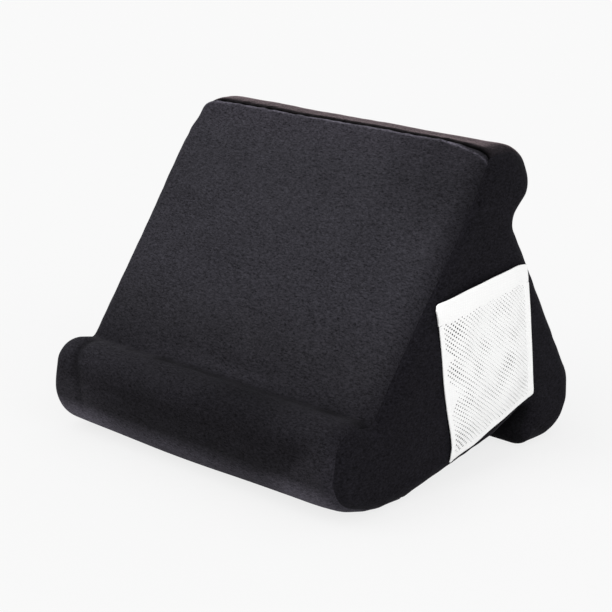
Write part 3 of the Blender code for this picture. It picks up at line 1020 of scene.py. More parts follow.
@dataclass
class SwollenCloth:
    """The cover's cloth, swollen over the foam by Blender's cloth simulation and held at its seams."""

    form: CushionForm
    held: np.ndarray
    voxel: float = 0.005
    pressure: float = 4.0
    frames: int = 20
    hold_reach: float = 0.003
    hold_fade: float = 0.008
    most: float = 0.0013
    softness: float = 0.0030
    start_inset: float = 0.0002
    blend: float = 0.005
    neighbours: int = 8
    column_step: int = 2
    turn_count: int = 7
    least_share: float = 1e-6
    lifts: list[float] = field(init=False)
    places: KDTree = field(init=False)

    def __post_init__(self) -> None:
        """Runs the simulation and keeps how far each place swelled."""
        name = "simulated_cloth"
        points, faces = self.closed_form()
        mesh = bpy.data.meshes.new(name)
        mesh.from_pydata(points.tolist(), [], faces)
        cloth = bpy.data.objects.new(name, mesh)
        bpy.context.scene.collection.objects.link(cloth)
        remesh = cloth.modifiers.new("even", "REMESH")
        remesh.mode = "VOXEL"
        remesh.voxel_size = self.voxel
        self.applied(cloth)
        before = self.vertices(cloth)
        outward = np.empty(before.size)
        cloth.data.vertex_normals.foreach_get("vector", outward)
        self.pin(cloth, before)
        self.simulate(cloth)
        swelled = np.sum((self.vertices(cloth) - before) * outward.reshape(-1, 3), axis=1)
        self.lifts = (self.most * np.tanh(swelled / self.softness)).tolist()
        log.info("cloth: %d points, swelled %.2f mm, at most %.2f mm", len(before), swelled.mean() / MM,
                 swelled.max() / MM)
        self.places = near_tree(before)
        bpy.data.objects.remove(cloth)

    def closed_form(self) -> tuple[np.ndarray, list[tuple[int, ...]]]:
        """The cushion's whole plain form as one closed skin.

        Returns:
            Its points and faces.
        """
        columns = np.arange(0, len(self.form.around), self.column_step)
        count = len(columns)
        turns = [np.full(count, turn) for turn in np.linspace(0, math.pi / 2, self.turn_count)]
        rounded = {side: [self.form.on_end(columns, turn, side) for turn in turns] for side in Side}
        rings = np.array(rounded[Side.RIGHT] + rounded[Side.LEFT][::-1])
        return rings.reshape(-1, 3), capped_faces(len(rings), count)

    def vertices(self, made: bpy.types.Object) -> np.ndarray:
        """Reads an object's own points.

        Args:
            made: the object.

        Returns:
            Its points, one in each row.
        """
        places = np.empty(len(made.data.vertices) * 3)
        made.data.vertices.foreach_get("co", places)
        return places.reshape(-1, 3)

    def applied(self, made: bpy.types.Object) -> None:
        """Applies an object's modifiers to its mesh.

        Args:
            made: the object.
        """
        seen = made.evaluated_get(bpy.context.evaluated_depsgraph_get())
        mesh = bpy.data.meshes.new_from_object(seen)
        made.modifiers.clear()
        made.data = mesh

    def pin(self, cloth: bpy.types.Object, places: np.ndarray) -> None:
        """Holds the cloth where it is sewn.

        Args:
            cloth: the skin.
            places: its points.
        """
        seams = near_tree(self.held)
        away = np.array([seams.find(place)[2] for place in places])
        hold = 1 - smooth_step((away - self.hold_reach) / self.hold_fade)
        group = cloth.vertex_groups.new(name="seams")
        for number, weight in enumerate(hold):
            group.add((number,), float(weight), "REPLACE")

    def simulate(self, cloth: bpy.types.Object) -> None:
        """Steps the simulation and applies it.

        Args:
            cloth: the skin, with its pinned seams.
        """
        modifier = cloth.modifiers.new("cloth", "CLOTH")
        modifier.settings.use_pressure = True
        modifier.settings.uniform_pressure_force = self.pressure
        modifier.settings.vertex_group_mass = "seams"
        modifier.settings.effector_weights.gravity = 0
        modifier.point_cache.frame_start = 1
        modifier.point_cache.frame_end = self.frames
        for frame in range(1, self.frames + 1):
            bpy.context.scene.frame_set(frame)
        self.applied(cloth)
        bpy.context.scene.frame_set(1)

    def swell(self, points: np.ndarray) -> np.ndarray:
        """How far the cloth stands out at some points, from a slightly smaller start.

        Args:
            points: points of the form's own frame.

        Returns:
            The lift of each in metres.
        """
        lifts = []
        for place in points.reshape(-1, 3):
            near = self.places.find_n(place, self.neighbours)
            shares = [math.exp(-(away / self.blend) ** 2) + self.least_share for _, _, away in near]
            total = sum(share * self.lifts[number] for share, (_, number, _) in zip(shares, near))
            lifts.append(total / sum(shares))
        return np.reshape(lifts, points.shape[:-1]) - self.start_inset


@dataclass(frozen=True)
class SewnSeam:
    """How the cover gives at a seam: a groove, a soft ridge on each side, and small puckers."""

    groove_depth: float = 0.00035
    groove_width: float = 0.0009
    ridge_height: float = 0.0001
    ridge_place: float = 0.003
    pucker_depth: float = 0.0001
    pucker_reach: float = 0.008
    pucker_spacing: float = 0.030
    pucker_start: float = 0.0015
    pucker_waves: int = 8
    groove_power: float = 1.5

    def lift(self, distance: np.ndarray, along: np.ndarray, seed: int) -> np.ndarray:
        """How far the cover stands out of its plain form near the seam.

        Args:
            distance: the distance from the seam.
            along: the place along the seam.
            seed: what the puckers start from.

        Returns:
            The lift in metres, negative in the groove.
        """
        near = distance / self.ridge_place
        groove = -self.groove_depth * np.exp(-(distance / self.groove_width) ** self.groove_power)
        ridge = self.ridge_height * near * np.exp(1 - near)
        pucker = waves(along[..., None], self.pucker_spacing, seed, self.pucker_waves)
        pucker = pucker * np.exp(-(distance / self.pucker_reach) ** 2)
        return groove + ridge + self.pucker_depth * pucker * smooth_step(distance / self.pucker_start)


# What each field of waves starts from.
END_WANDER_SEED = 5
LUMP_SEED = 21
RIPPLE_SEED = 22
END_SEAM_SEED = 31
CROSS_SEAM_SEED = 40
SLACK_SEED = 71
EDGE_SEED = 72
HOLE_SEED = 73
SHADING_WANDER_SEED = 81

END_SEAM = SewnSeam()
TOP_SEAM = SewnSeam(0.0026, 0.0015, 0.0009, 0.0028, 0.00030, 0.006, 0.022)
LOW_SEAM = SewnSeam(0.0012, 0.0011, 0.0003, 0.0030, 0.00020, 0.007, 0.022)


@dataclass(frozen=True)
class PaintedLightShade:
    """Painted light and shade on the plush, as shares of its own colour.

    Steps and bands run over metres along the cushion, up it, or from the top seam or the crease.
    """

    # Negative strengths are painted shade and positive ones painted light: shade in the top seam's groove,
    # behind it on the rear panel, in the crease, on the ledge and in the tuck; light on the rolled edge,
    # over the crease, at the left end and along the lip's low strip.
    seam_shade: SoftBand = SoftBand(-0.80, 0.0, 0.0020)
    seam_shade_less: float = 0.35
    behind_seam: SoftBand = SoftBand(-0.55, 0.0, 0.0055)
    wander_length: float = 0.060
    rolled: SoftBand = SoftBand(1.0, 0.0002, 0.0008)
    rolled_light: float = 1.6
    rolled_wander: float = 0.6
    rolled_less: float = 0.45
    creased: SoftBand = SoftBand(-0.50, 0.0060, 0.0070)
    creased_least: float = 0.5
    creased_from: SoftStep = SoftStep(-0.075, 0.030)
    creased_wander: float = 0.25
    raised: SoftBand = SoftBand(0.52, -0.0042, 0.0042)
    raised_middle: SoftBand = SoftBand(1.0, -0.004, 0.070)
    left: SoftStep = SoftStep(0.050, 0.060)
    left_light: float = 0.20
    left_low: SoftStep = SoftStep(0.040, 0.020)
    left_low_light: float = 0.62
    right: SoftStep = SoftStep(0.040, 0.060)
    right_wander: float = 0.012
    right_high: SoftStep = SoftStep(0.160, 0.050)
    right_shade: float = -0.34
    below_seam: SoftStep = SoftStep(0.0, 0.008)
    ledge: SoftBand = SoftBand(-0.36, 0.045, 0.042)
    ledge_from: SoftStep = SoftStep(0.008, 0.010)
    ledge_over: SoftStep = SoftStep(0.045, 0.015)
    corner: SoftStep = SoftStep(0.072, 0.030)
    strip_height: float = 0.034
    strip_rise: float = 0.004
    strip_rise_from: SoftStep = SoftStep(0.020, 0.050)
    strip_corner_rise: float = 0.026
    strip_corner_from: SoftStep = SoftStep(0.095, 0.030)
    strip_fade: float = 0.018
    strip_light: float = 0.12
    strip_shade: float = -0.20
    strip_shade_from: SoftStep = SoftStep(0.0, 0.050)
    strip_corner_light: float = 0.65
    tuck_shade: float = -0.60

    def by_top_seam(self, from_top: np.ndarray, near_corner: np.ndarray) -> np.ndarray:
        """Painted shade along the top seam's groove.

        Args:
            from_top: the distance from the top seam.
            near_corner: how near the points are to the cushion's ends.

        Returns:
            The share of the pile's own colour at each point.
        """
        return (1 - self.seam_shade_less * near_corner) * self.seam_shade.over(from_top)

    def by_folds(self, x: np.ndarray, from_roll: np.ndarray, from_crease: np.ndarray,
                 near_corner: np.ndarray, wander: np.ndarray) -> np.ndarray:
        """Painted light on the roll beside the top seam, painted shade in the crease, and painted light on
        the raised edge over it.

        Args:
            x: the places along the cushion.
            from_roll: the distance from the top edge's roll.
            from_crease: the distance from the crease, which is negative on the reading face.
            near_corner: how near the points are to the cushion's ends.
            wander: slow waves along the cushion.

        Returns:
            The share of the pile's own colour at each point.
        """
        rolled = (self.rolled_light + self.rolled_wander * wander) * (1 - self.rolled_less * near_corner)
        fold = self.creased_least + (1 - self.creased_least) * self.creased_from.at(x)
        fold = fold + self.creased_wander * wander
        raised = self.raised.over(from_crease) * self.raised_middle.over(x)
        return rolled * self.rolled.over(from_roll) + fold * self.creased.over(from_crease) + raised

    def broad_light_and_shade(self, x: np.ndarray, z: np.ndarray, from_top: np.ndarray, from_crease: np.ndarray,
                    wander: np.ndarray) -> np.ndarray:
        """Broad painted light and shade: lighter at the left end, darker at the upper right and on the
        ledge, lighter or darker along the lip's low strip.

        Args:
            x: the places along the cushion.
            z: their heights.
            from_top: the distance from the top seam.
            from_crease: the distance from the crease, which is negative on the reading face.
            wander: slow waves along the cushion.

        Returns:
            The share of the pile's own colour at each point.
        """
        left = self.left.at(-x) * (self.left_light + self.left_low_light * self.left_low.at(from_crease))
        right = self.right_shade * self.right.at(x + self.right_wander * wander) * self.right_high.at(z)
        ledge = self.ledge.over(x) * self.ledge_from.at(from_crease) * self.ledge_over.at(z)
        by_corner = self.corner.at(x)
        strip_top = self.strip_height + self.strip_rise * self.strip_rise_from.at(x)
        strip_top = strip_top + self.strip_corner_rise * self.strip_corner_from.at(x)
        strip = self.strip_light + self.strip_shade * self.strip_shade_from.at(x) * (1 - by_corner)
        strip = strip + self.strip_corner_light * by_corner
        return (
            left * (from_crease > 0) + right * self.below_seam.at(from_top) + ledge
            + strip * smooth_step((strip_top - z) / self.strip_fade)
        )


@dataclass
class Cover:
    """The velvet cover: three panels wrapped across the cushion and one on each end."""

    form: CushionForm
    thickness: float = 0.0019
    coarse_step: float = 0.0026
    fine_step: float = 0.0008
    growth: float = 1.25
    seam_turn: float = math.radians(50)
    seam_wander: float = math.radians(7)
    top_seam_setback: float = 0.0036
    top_seam_fade: float = 0.55
    lump_height: float = 0.00035
    lump_length: float = 0.080
    ripple_height: float = 0.00008
    ripple_length: float = 0.024
    seam_hold: float = 0.034
    tuck_depth: float = 0.0013
    tuck_width: float = 0.0042
    tuck_x: float = -0.121
    tuck_lean: float = 0.013
    tuck_top: float = 0.072
    tuck_length: float = 0.045
    tuck_out: SoftStep = SoftStep(0.006, 0.012)
    tuck_height: SoftStep = SoftStep(0.014, 0.022)
    corner_step: SoftStep = SoftStep(-0.027, 0.025)
    floor_hold: float = 0.045
    seam_wander_length: float = 0.30
    seam_wander_most: float = 1.3
    held_points: int = 120
    field_step: float = 1.25
    field_gap: float = 0.6
    painted_light: PaintedLightShade = PaintedLightShade()
    turns: dict[Side, np.ndarray] = field(init=False)
    cloth: SwollenCloth | None = field(init=False)

    def __post_init__(self) -> None:
        """Lets each end seam wander along the cushion's edge, and swells the cloth between the seams."""
        angles = 2 * math.pi * self.form.around / self.form.girth
        circle = np.column_stack((np.cos(angles), np.sin(angles)))
        circle = circle * self.form.girth / (2 * math.pi)
        self.turns = {}
        for side in Side:
            wander = waves(circle, self.seam_wander_length, END_WANDER_SEED + side.value, count=6)
            wander = np.clip(wander, -self.seam_wander_most, self.seam_wander_most)
            self.turns[side] = self.seam_turn + self.seam_wander * wander
        self.cloth = SwollenCloth(self.form, self.sewn_places())

    def sewn_places(self) -> np.ndarray:
        """Points along all the seams and the crease, where the cloth is held.

        Returns:
            The points in the form's own frame.
        """
        every = np.arange(len(self.form.around))
        places = [self.form.on_end(every, self.turns[side], side) for side in Side]
        x = np.linspace(-1, 1, self.held_points) * (self.form.width / 2 - self.form.end_rounding)
        for name in ("top", "crease", "rest_rear", "shoulder"):
            columns = np.full(len(x), self.seam_column(name))
            line = self.form.at_inset(self.form.slid(columns, x), np.zeros(len(x)))
            places.append(np.column_stack((x, line)))
        return np.concatenate(places)

    def columns(self, first: str, last: str) -> np.ndarray:
        """The ring's points between two cross seams.

        Args:
            first: the corner of the first seam.
            last: the corner of the last seam.

        Returns:
            The points' numbers, with both seams' own.
        """
        start = self.seam_column(first)
        end = self.seam_column(last)
        count = len(self.form.around)
        if end <= start:
            end += count
        return np.arange(start, end + 1) % count

    def seam_column(self, name: str) -> int:
        """Finds the ring's point under a cross seam.

        Args:
            name: the seam's corner.

        Returns:
            The point's number: the middle of the corner, or just behind the top edge.
        """
        middle = self.form.outline.middle(name)
        if name != "top":
            return middle
        behind = (self.form.around[middle] - self.form.around) % self.form.girth
        return int(np.argmin(np.abs(behind - self.top_seam_setback)))

    def across(self, columns: np.ndarray) -> tuple[np.ndarray, np.ndarray]:
        """A panel's plain points, from its right end seam to its left one.

        Args:
            columns: the ring's points that the panel spans.

        Returns:
            The points as rows across the cushion, and each point's distance from the nearer end seam.
        """
        arc = self.form.end_rounding * (math.pi / 2 - self.seam_turn)
        bend = graded_shares(arc, self.coarse_step, self.fine_step, self.coarse_step, self.growth)
        rows = {}
        for side in Side:
            seam = self.turns[side][columns]
            rows[side] = [
                self.form.on_end(columns, seam + (math.pi / 2 - seam) * share, side) for share in bend
            ]
        half = self.form.width / 2 - self.form.end_rounding
        flat = np.linspace(1, -1, math.ceil(2 * half / self.coarse_step))[1:-1]
        level = np.zeros(len(columns))
        straight = []
        for x in half * flat:
            line = self.form.at_inset(self.form.slid(columns, x), level)
            straight.append(np.column_stack((level + x, line)))
        points = np.array(rows[Side.RIGHT] + straight + rows[Side.LEFT][::-1])
        walked = walked_along(points, 0)
        return points, np.minimum(walked, walked[-1] - walked)

    def undulation(self, points: np.ndarray, from_seam: np.ndarray) -> np.ndarray:
        """The swell and slow unevenness of cloth over foam, which its end seams and the table hold flat.

        Args:
            points: points of the form's own frame.
            from_seam: their distances from the end seam.

        Returns:
            The lift of each in metres.
        """
        lumps = self.lump_height * waves(points, self.lump_length, LUMP_SEED)
        ripples = self.ripple_height * waves(points, self.ripple_length, RIPPLE_SEED)
        swell = self.cloth.swell(points) if self.cloth else 0.0
        loose = (lumps + ripples) * smooth_step(from_seam / self.seam_hold)
        return (loose + swell) * smooth_step(points[..., 2] / self.floor_hold)

    def near_corner(self, x: np.ndarray) -> np.ndarray:
        """How near places along the cushion are to its two ends, from 0 to 1."""
        return self.corner_step.at(np.abs(x) - self.form.width / 2)

    def lip_tuck(self, points: np.ndarray) -> np.ndarray:
        """How near points are to the soft tuck that runs down the lip by its left end.

        Args:
            points: points of the form's own frame.

        Returns:
            From 0 to 1 for each.
        """
        x, y, z = points[..., 0], points[..., 1], points[..., 2]
        line = self.tuck_x + self.tuck_lean * smooth_step((self.tuck_top - z) / self.tuck_length)
        on_lip = self.tuck_out.at(-y) * self.tuck_height.at(z)
        return np.exp(-((x - line) / self.tuck_width) ** 2) * on_lip

    def pile_lay(self, name: str, points: np.ndarray, from_top: np.ndarray,
                 from_crease: np.ndarray) -> np.ndarray:
        """The painted light and shade on a panel: shade in the seams' grooves, the crease and the tuck,
        light on the rolled edge, and broad parts lighter or darker.

        Args:
            name: the panel's name.
            points: the panel's plain points.
            from_top: the distance from the top seam.
            from_crease: the distance from the crease, which is negative on the reading face.

        Returns:
            A share of the pile's own colour for each point, negative where it is darker.
        """
        x, z = points[..., 0], points[..., 2]
        near_corner = self.near_corner(x)
        seam_shade = self.painted_light.by_top_seam(from_top, near_corner)
        if name != "front_velvet":
            return seam_shade + self.painted_light.behind_seam.over(from_top)
        wander = waves(points[..., :1], self.painted_light.wander_length, SHADING_WANDER_SEED, count=6)
        folds = self.painted_light.by_folds(x, from_top - self.top_seam_setback, from_crease, near_corner, wander)
        brushed = self.painted_light.broad_light_and_shade(x, z, from_top, from_crease, wander)
        return seam_shade + folds + brushed + self.painted_light.tuck_shade * self.lip_tuck(points)

    def wrap_panel(self, name: str, first: str, last: str, finish: bpy.types.Material) -> bpy.types.Object:
        """One panel of velvet across the cushion, between two cross seams and the end seams.

        Args:
            name: the piece's name.
            first: the corner of its first cross seam.
            last: the corner of its last cross seam.
            finish: its material.

        Returns:
            The piece.
        """
        columns = self.columns(first, last)
        points, from_ends = self.across(columns)
        normals = grid_normals(points)
        walked = walked_along(points, 1)
        around = np.broadcast_to(self.form.around[columns], walked.shape)
        from_first = walked
        from_last = walked[:, -1:] - walked
        lift = self.undulation(points, from_ends)
        lift += END_SEAM.lift(from_ends, around, END_SEAM_SEED)
        held = 1 - self.top_seam_fade * self.near_corner(points[..., 0])
        for corner, distance in ((first, from_first), (last, from_last)):
            seed = CROSS_SEAM_SEED + len(corner)
            if corner == "top":
                lift += held * TOP_SEAM.lift(distance, points[..., 0], seed)
            else:
                lift += LOW_SEAM.lift(distance, points[..., 0], seed)
        lift -= self.tuck_depth * self.lip_tuck(points)
        shifted = on_floor(self.form.drooped(points + normals * lift[..., None]))
        made = piece(name, self.form.placed(shifted), grid_faces(*points.shape[:2]), finish, Slot.PLUSH,
                     name.replace("velvet", "wrap_panel"))
        from_top = from_first if first == "top" else from_last if last == "top" else np.ones_like(walked)
        crease = np.flatnonzero(columns == self.form.outline.middle("crease"))
        from_crease = walked - walked[:, crease[:1]] if len(crease) else np.ones_like(walked)
        # The painted light and shade, kept on the points for the velvet's material.
        painted_light = made.data.attributes.new(PAINTED_LIGHT_SHADE, "FLOAT", "POINT")
        painted_light.data.foreach_set("value", self.pile_lay(name, points, from_top, from_crease).ravel())
        face_outwards(made)
        thicken(made, self.thickness, -1)
        return made

    def end_panel(self, side: Side, finish: bpy.types.Material) -> bpy.types.Object:
        """The velvet panel over one end: a flat face with a rounded border.

        Args:
            side: which end.
            finish: its material.

        Returns:
            The piece.
        """
        columns = np.arange(len(self.form.around))
        seam = self.turns[side]
        arc = self.form.end_rounding * self.seam_turn
        shares = graded_shares(arc, self.coarse_step, self.fine_step, self.coarse_step, self.growth)
        rows = np.array([self.form.on_end(columns, seam * (1 - share), side) for share in shares])
        walked = walked_along(rows, 0)
        closed = np.concatenate((rows[:, -1:], rows, rows[:, :1]), axis=1)
        normals = -side.value * grid_normals(closed)[:, 1:-1]
        around = np.broadcast_to(self.form.around, walked.shape)
        lift = self.undulation(rows, walked) + END_SEAM.lift(walked, around, END_SEAM_SEED)
        border = on_floor(self.form.drooped(rows + normals * lift[..., None]))
        inner, faces = self.end_field(rows[-1, :, 1:])
        field_points = np.column_stack((np.full(len(inner), side.value * self.form.width / 2), inner))
        outward = np.array((side.value, 0.0, 0.0))
        inwards = np.min(np.linalg.norm(inner[:, None] - rows[-1][None, ::4, 1:], axis=2), axis=1)
        field_lift = self.undulation(field_points, inwards + walked[-1].mean())
        placed_field = self.form.drooped(field_points + outward * field_lift[:, None])
        count = rows.shape[1]
        first = (rows.shape[0] - 1) * count
        points = np.concatenate((border.reshape(-1, 3)[:first], placed_field))
        all_faces = grid_faces(rows.shape[0], count, closed=True)
        all_faces += [tuple(first + index for index in face) for face in faces]
        name = f"{side.name.lower()}_end_velvet"
        made = piece(name, self.form.placed(points), all_faces, finish, Slot.PLUSH,
                     f"{side.name.lower()}_end_panel")
        face_outwards(made)
        thicken(made, self.thickness, -1)
        return made

    def end_field(self, ring: np.ndarray) -> tuple[np.ndarray, list[tuple[int, ...]]]:
        """Fills the flat of an end with small triangles, from its border ring.

        Args:
            ring: the border's points in the outline's plane.

        Returns:
            All points, the ring's first and in their order, and the faces.
        """
        low = ring.min(axis=0)
        high = ring.max(axis=0)
        spacing = self.coarse_step * self.field_step
        rise = spacing * math.sqrt(3) / 2
        inner = []
        for row, z in enumerate(np.arange(low[1] + rise / 2, high[1], rise)):
            for y in np.arange(low[0] + spacing * (0.5 if row % 2 else 0.0), high[0], spacing):
                inner.append((y, z))
        inner = np.array(inner)
        inner = inner[inside(ring, inner)]
        gaps = np.min(np.linalg.norm(inner[:, None] - ring[None], axis=2), axis=1)
        inner = inner[gaps > spacing * self.field_gap]
        points = np.concatenate((ring, inner))
        count = len(ring)
        edges = [(index, (index + 1) % count) for index in range(count)]
        result = delaunay_2d_cdt([Vector(point) for point in points], edges, [], 1, 1e-9)
        return np.array([tuple(point) for point in result[0]]), [tuple(face) for face in result[2]]

    def build(self) -> list[bpy.types.Object]:
        """Builds the five panels.

        Returns:
            The pieces.
        """
        made = [
            self.wrap_panel("front_velvet", "top", "rest_rear", VELVET_FRONT.material()),
            self.wrap_panel("base_velvet", "rest_rear", "shoulder", VELVET_BASE.material()),
            self.wrap_panel("rear_velvet", "shoulder", "top", VELVET_REAR.material()),
        ]
        end_finish = VELVET_END.material()
        made += [self.end_panel(side, end_finish) for side in Side]
        return made


def on_floor(points: np.ndarray) -> np.ndarray:
    """The points with none below the floor, where the cushion's own weight flattens it."""
    return np.stack((points[..., 0], points[..., 1], np.maximum(points[..., 2], 0.0)), axis=-1)


def inside(ring: np.ndarray, points: np.ndarray) -> np.ndarray:
    """Which points lie inside a closed outline.

    Args:
        ring: the outline's points.
        points: the points to test.

    Returns:
        True for each point inside.
    """
    after = np.roll(ring, -1, axis=0)
    found = np.zeros(len(points), bool)
    for (y0, z0), (y1, z1) in zip(ring, after):
        crosses = (z0 > points[:, 1]) != (z1 > points[:, 1])
        if z1 != z0:
            edge = (y1 - y0) * (points[:, 1] - z0) / (z1 - z0) + y0
            found ^= crosses & (points[:, 0] < edge)
    return found


@dataclass
class FoamCore:
    """The foam wedge inside the cover."""

    form: CushionForm
    depth: float = 0.0031
    column_step: int = 3
    turn_count: int = 7

    def build(self) -> bpy.types.Object:
        """Builds the foam wedge, which the cover hides.

        Returns:
            The piece.
        """
        columns = np.arange(0, len(self.form.around), self.column_step)
        rows = []
        half = self.form.width / 2 - self.form.end_rounding
        radius = self.form.end_rounding - self.depth
        turns = np.linspace(0, math.pi / 2, self.turn_count)
        for side, ordered in ((Side.RIGHT, turns), (Side.LEFT, turns[::-1])):
            for turn in ordered:
                inset = np.full(len(columns), self.form.end_rounding - radius * math.sin(turn))
                x = np.full(len(columns), side.value * (half + radius * math.cos(turn)))
                rows.append(np.column_stack((x, self.form.at_inset(columns, inset))))
        points = self.form.placed(self.form.drooped(np.array(rows)))
        made = piece("foam_wedge", points, capped_faces(len(rows), len(columns)), FOAM.material(),
                     Slot.FOAM, "foam_core")
        face_outwards(made)
        return made


# The net pocket


# Where the net is drawn open or slack: shares along and up the pocket, the reach in metres, and how much.
STRETCHED_PATCHES = (
    (0.10, 0.785, 0.010, 0.50), (0.33, 0.62, 0.013, 0.22), (0.08, 0.55, 0.007, 0.40),
    (0.70, 0.38, 0.012, 0.26), (0.84, 0.15, 0.014, 0.26), (0.10, 0.09, 0.011, 0.50),
    (0.28, 0.26, 0.016, 0.18), (0.80, 0.62, 0.014, 0.10),
    (0.55, 0.50, 0.011, -0.30), (0.45, 0.72, 0.011, -0.25),
)
# Where the net is plain inside its front edge: the share up, the reach as a share, and the width.
PLAIN_PLACES = ((0.65, 0.045, 0.0065), (0.40, 0.085, 0.0080))


@dataclass
class NetPocket:
    """The pocket on the right end: one wall of knitted net, bound with folded tape."""

    form: CushionForm
    front_height: float = 0.1340
    rear_height: float = 0.1417
    edge_inset: float = 0.0085
    front_corner_lead: float = 0.0014
    rear_corner_lead: float = 0.0010
    front_reach: float = 0.0421
    rear_margin: float = 0.0036
    depth: float = 0.0030
    flare: float = 0.024
    top_arch: float = 0.0034
    rear_arch: float = 0.0019
    rear_arch_power: int = 6
    rear_arch_peak: float = 0.0567
    front_bow: SoftBand = SoftBand(0.0034, 0.12, 0.16)
    front_bow_start: float = 0.08
    front_bow_power: int = 3
    tape_steps: int = 90
    top_tape_rows: int = 11
    side_tape_rows: int = 7
    elastic_rows: int = 6
    fold_share: float = 1.3
    fold_offsets: tuple[float, ...] = (-0.75, 0.0, 0.75)
    leg_fade: float = 0.3
    elastic_reach: float = 0.55
    elastic_margin: float = 0.0015
    elastic_span: tuple[float, float] = (0.02, 0.96)
    side_tape_top: float = 1.02
    dog_ear: float = 0.0010
    dog_ear_radius: float = 0.0036
    seat: float = 0.0017
    net_thickness: float = 0.0005
    tape_pitch: float = 0.0004
    tape_sewn_pitch: float = 0.00016
    tape_thickness: float = 0.0003
    elastic_thickness: float = 0.0004
    low_lift: float = 0.0014
    side_tape_width: float = 0.0036
    plain_border: float = 0.0032
    rear_tape_width: float = 0.0060
    top_tape_width: float = 0.0135
    foot_border: float = 0.004
    knit_wale: tuple[float, float] = (0.00185, -0.00132)
    knit_course: tuple[float, float] = (0.00130, 0.00223)
    hole_width: float = 0.00097
    slack_height: float = 0.0006
    slack_length: float = 0.060
    edge_wander: tuple[float, float] = (0.00035, 0.00015)
    edge_wander_length: float = 0.045
    net_margin: float = 0.002
    net_under_tape: float = 0.5
    rim_grid: float = 1e-5
    least_cell: float = 1e-8
    clear_of_rear_tape: float = 0.9
    clear_of_top_tape: float = 1.08
    hole_wander: float = 0.20
    hole_wander_length: float = 0.030
    least_growth: float = 0.55
    most_growth: float = 1.9
    stitch_pitch: float = 0.0030
    stitch_length: float = 0.0021
    stitch_thickness: float = 0.00026
    stitch_rings: int = 5
    stitch_sides: int = 6
    stitch_tip: float = 0.35
    least_thread: float = 5e-5
    stitch_margins: tuple[float, float] = (0.01, 0.02)
    stitch_near_edge: float = 0.14
    stitch_near_fold: float = 0.84
    hem: float = 0.006
    front_top: np.ndarray = field(init=False)
    rear_top: np.ndarray = field(init=False)
    front_low: np.ndarray = field(init=False)
    rear_low: np.ndarray = field(init=False)
    width: float = field(init=False)
    height: float = field(init=False)

    def __post_init__(self) -> None:
        """Finds the pocket's four corners on the end."""
        corners = self.form.outline.corners
        front_lead = np.array((self.front_corner_lead, 0))
        rear_lead = np.array((self.rear_corner_lead, 0))
        self.front_top = self.on_side("crease", "top", self.front_height, 1) - front_lead
        self.rear_top = self.on_side("shoulder", "notch", self.rear_height, -1) - rear_lead
        self.front_low = self.on_base(corners["rest_rear"].y + self.front_reach)
        self.rear_low = self.on_base(corners["hollow"].y - self.rear_margin)
        top = np.linalg.norm(self.rear_top - self.front_top)
        low = np.linalg.norm(self.rear_low - self.front_low)
        self.width = float(top + low) / 2
        front = np.linalg.norm(self.front_top - self.front_low)
        rear = np.linalg.norm(self.rear_top - self.rear_low)
        self.height = float(front + rear) / 2

    def side_line(self, first: str, last: str) -> tuple[np.ndarray, np.ndarray]:
        """The line along one side of the outline.

        Args:
            first: the side's first corner.
            last: its last corner.

        Returns:
            The first corner's place and the side's direction.
        """
        corners = self.form.outline.corners
        start = np.array((corners[first].y, corners[first].z))
        return start, unit(np.array((corners[last].y, corners[last].z)) - start)

    def on_side(self, first: str, last: str, height: float, towards: int) -> np.ndarray:
        """The point at a height that is one edge inset inside a side.

        Args:
            first: the side's first corner.
            last: its last corner.
            height: the point's height.
            towards: 1 where the inside is rearwards of the side, -1 where it is forwards.

        Returns:
            The point in the outline's plane.
        """
        start, along = self.side_line(first, last)
        inward = np.array((-along[1], along[0]))
        if inward[0] * towards < 0:
            inward = -inward
        start = start + inward * self.edge_inset
        return start + along * ((height - start[1]) / along[1])

    def on_base(self, y: float) -> np.ndarray:
        """The point over the base that is one edge inset above it.

        Args:
            y: how far to the rear the point is.

        Returns:
            The point in the outline's plane.
        """
        ends = ("rest_rear", "sag") if y < self.form.outline.corners["sag"].y else ("sag", "hollow")
        start, along = self.side_line(*ends)
        start = start + np.array((-along[1], along[0])) * (self.edge_inset + self.low_lift)
        return start + along * ((y - start[0]) / along[0])

    def end_height(self, spots: np.ndarray) -> np.ndarray:
        """How far out the end's face is, by the distance from the nearest side.

        Args:
            spots: points in the outline's plane.

        Returns:
            The face's place along the cushion at each.
        """
        rounding = self.form.end_rounding
        distance = np.full(spots.shape[:-1], rounding)
        for ends in (("top", "crease"), ("rest_rear", "sag"), ("sag", "hollow"), ("shoulder", "notch")):
            start, along = self.side_line(*ends)
            distance = np.minimum(distance, (spots - start) @ np.array((-along[1], along[0])))
        dip = np.maximum(rounding - distance, 0)
        return self.form.width / 2 - rounding + np.sqrt(np.maximum(rounding ** 2 - dip ** 2, 0))

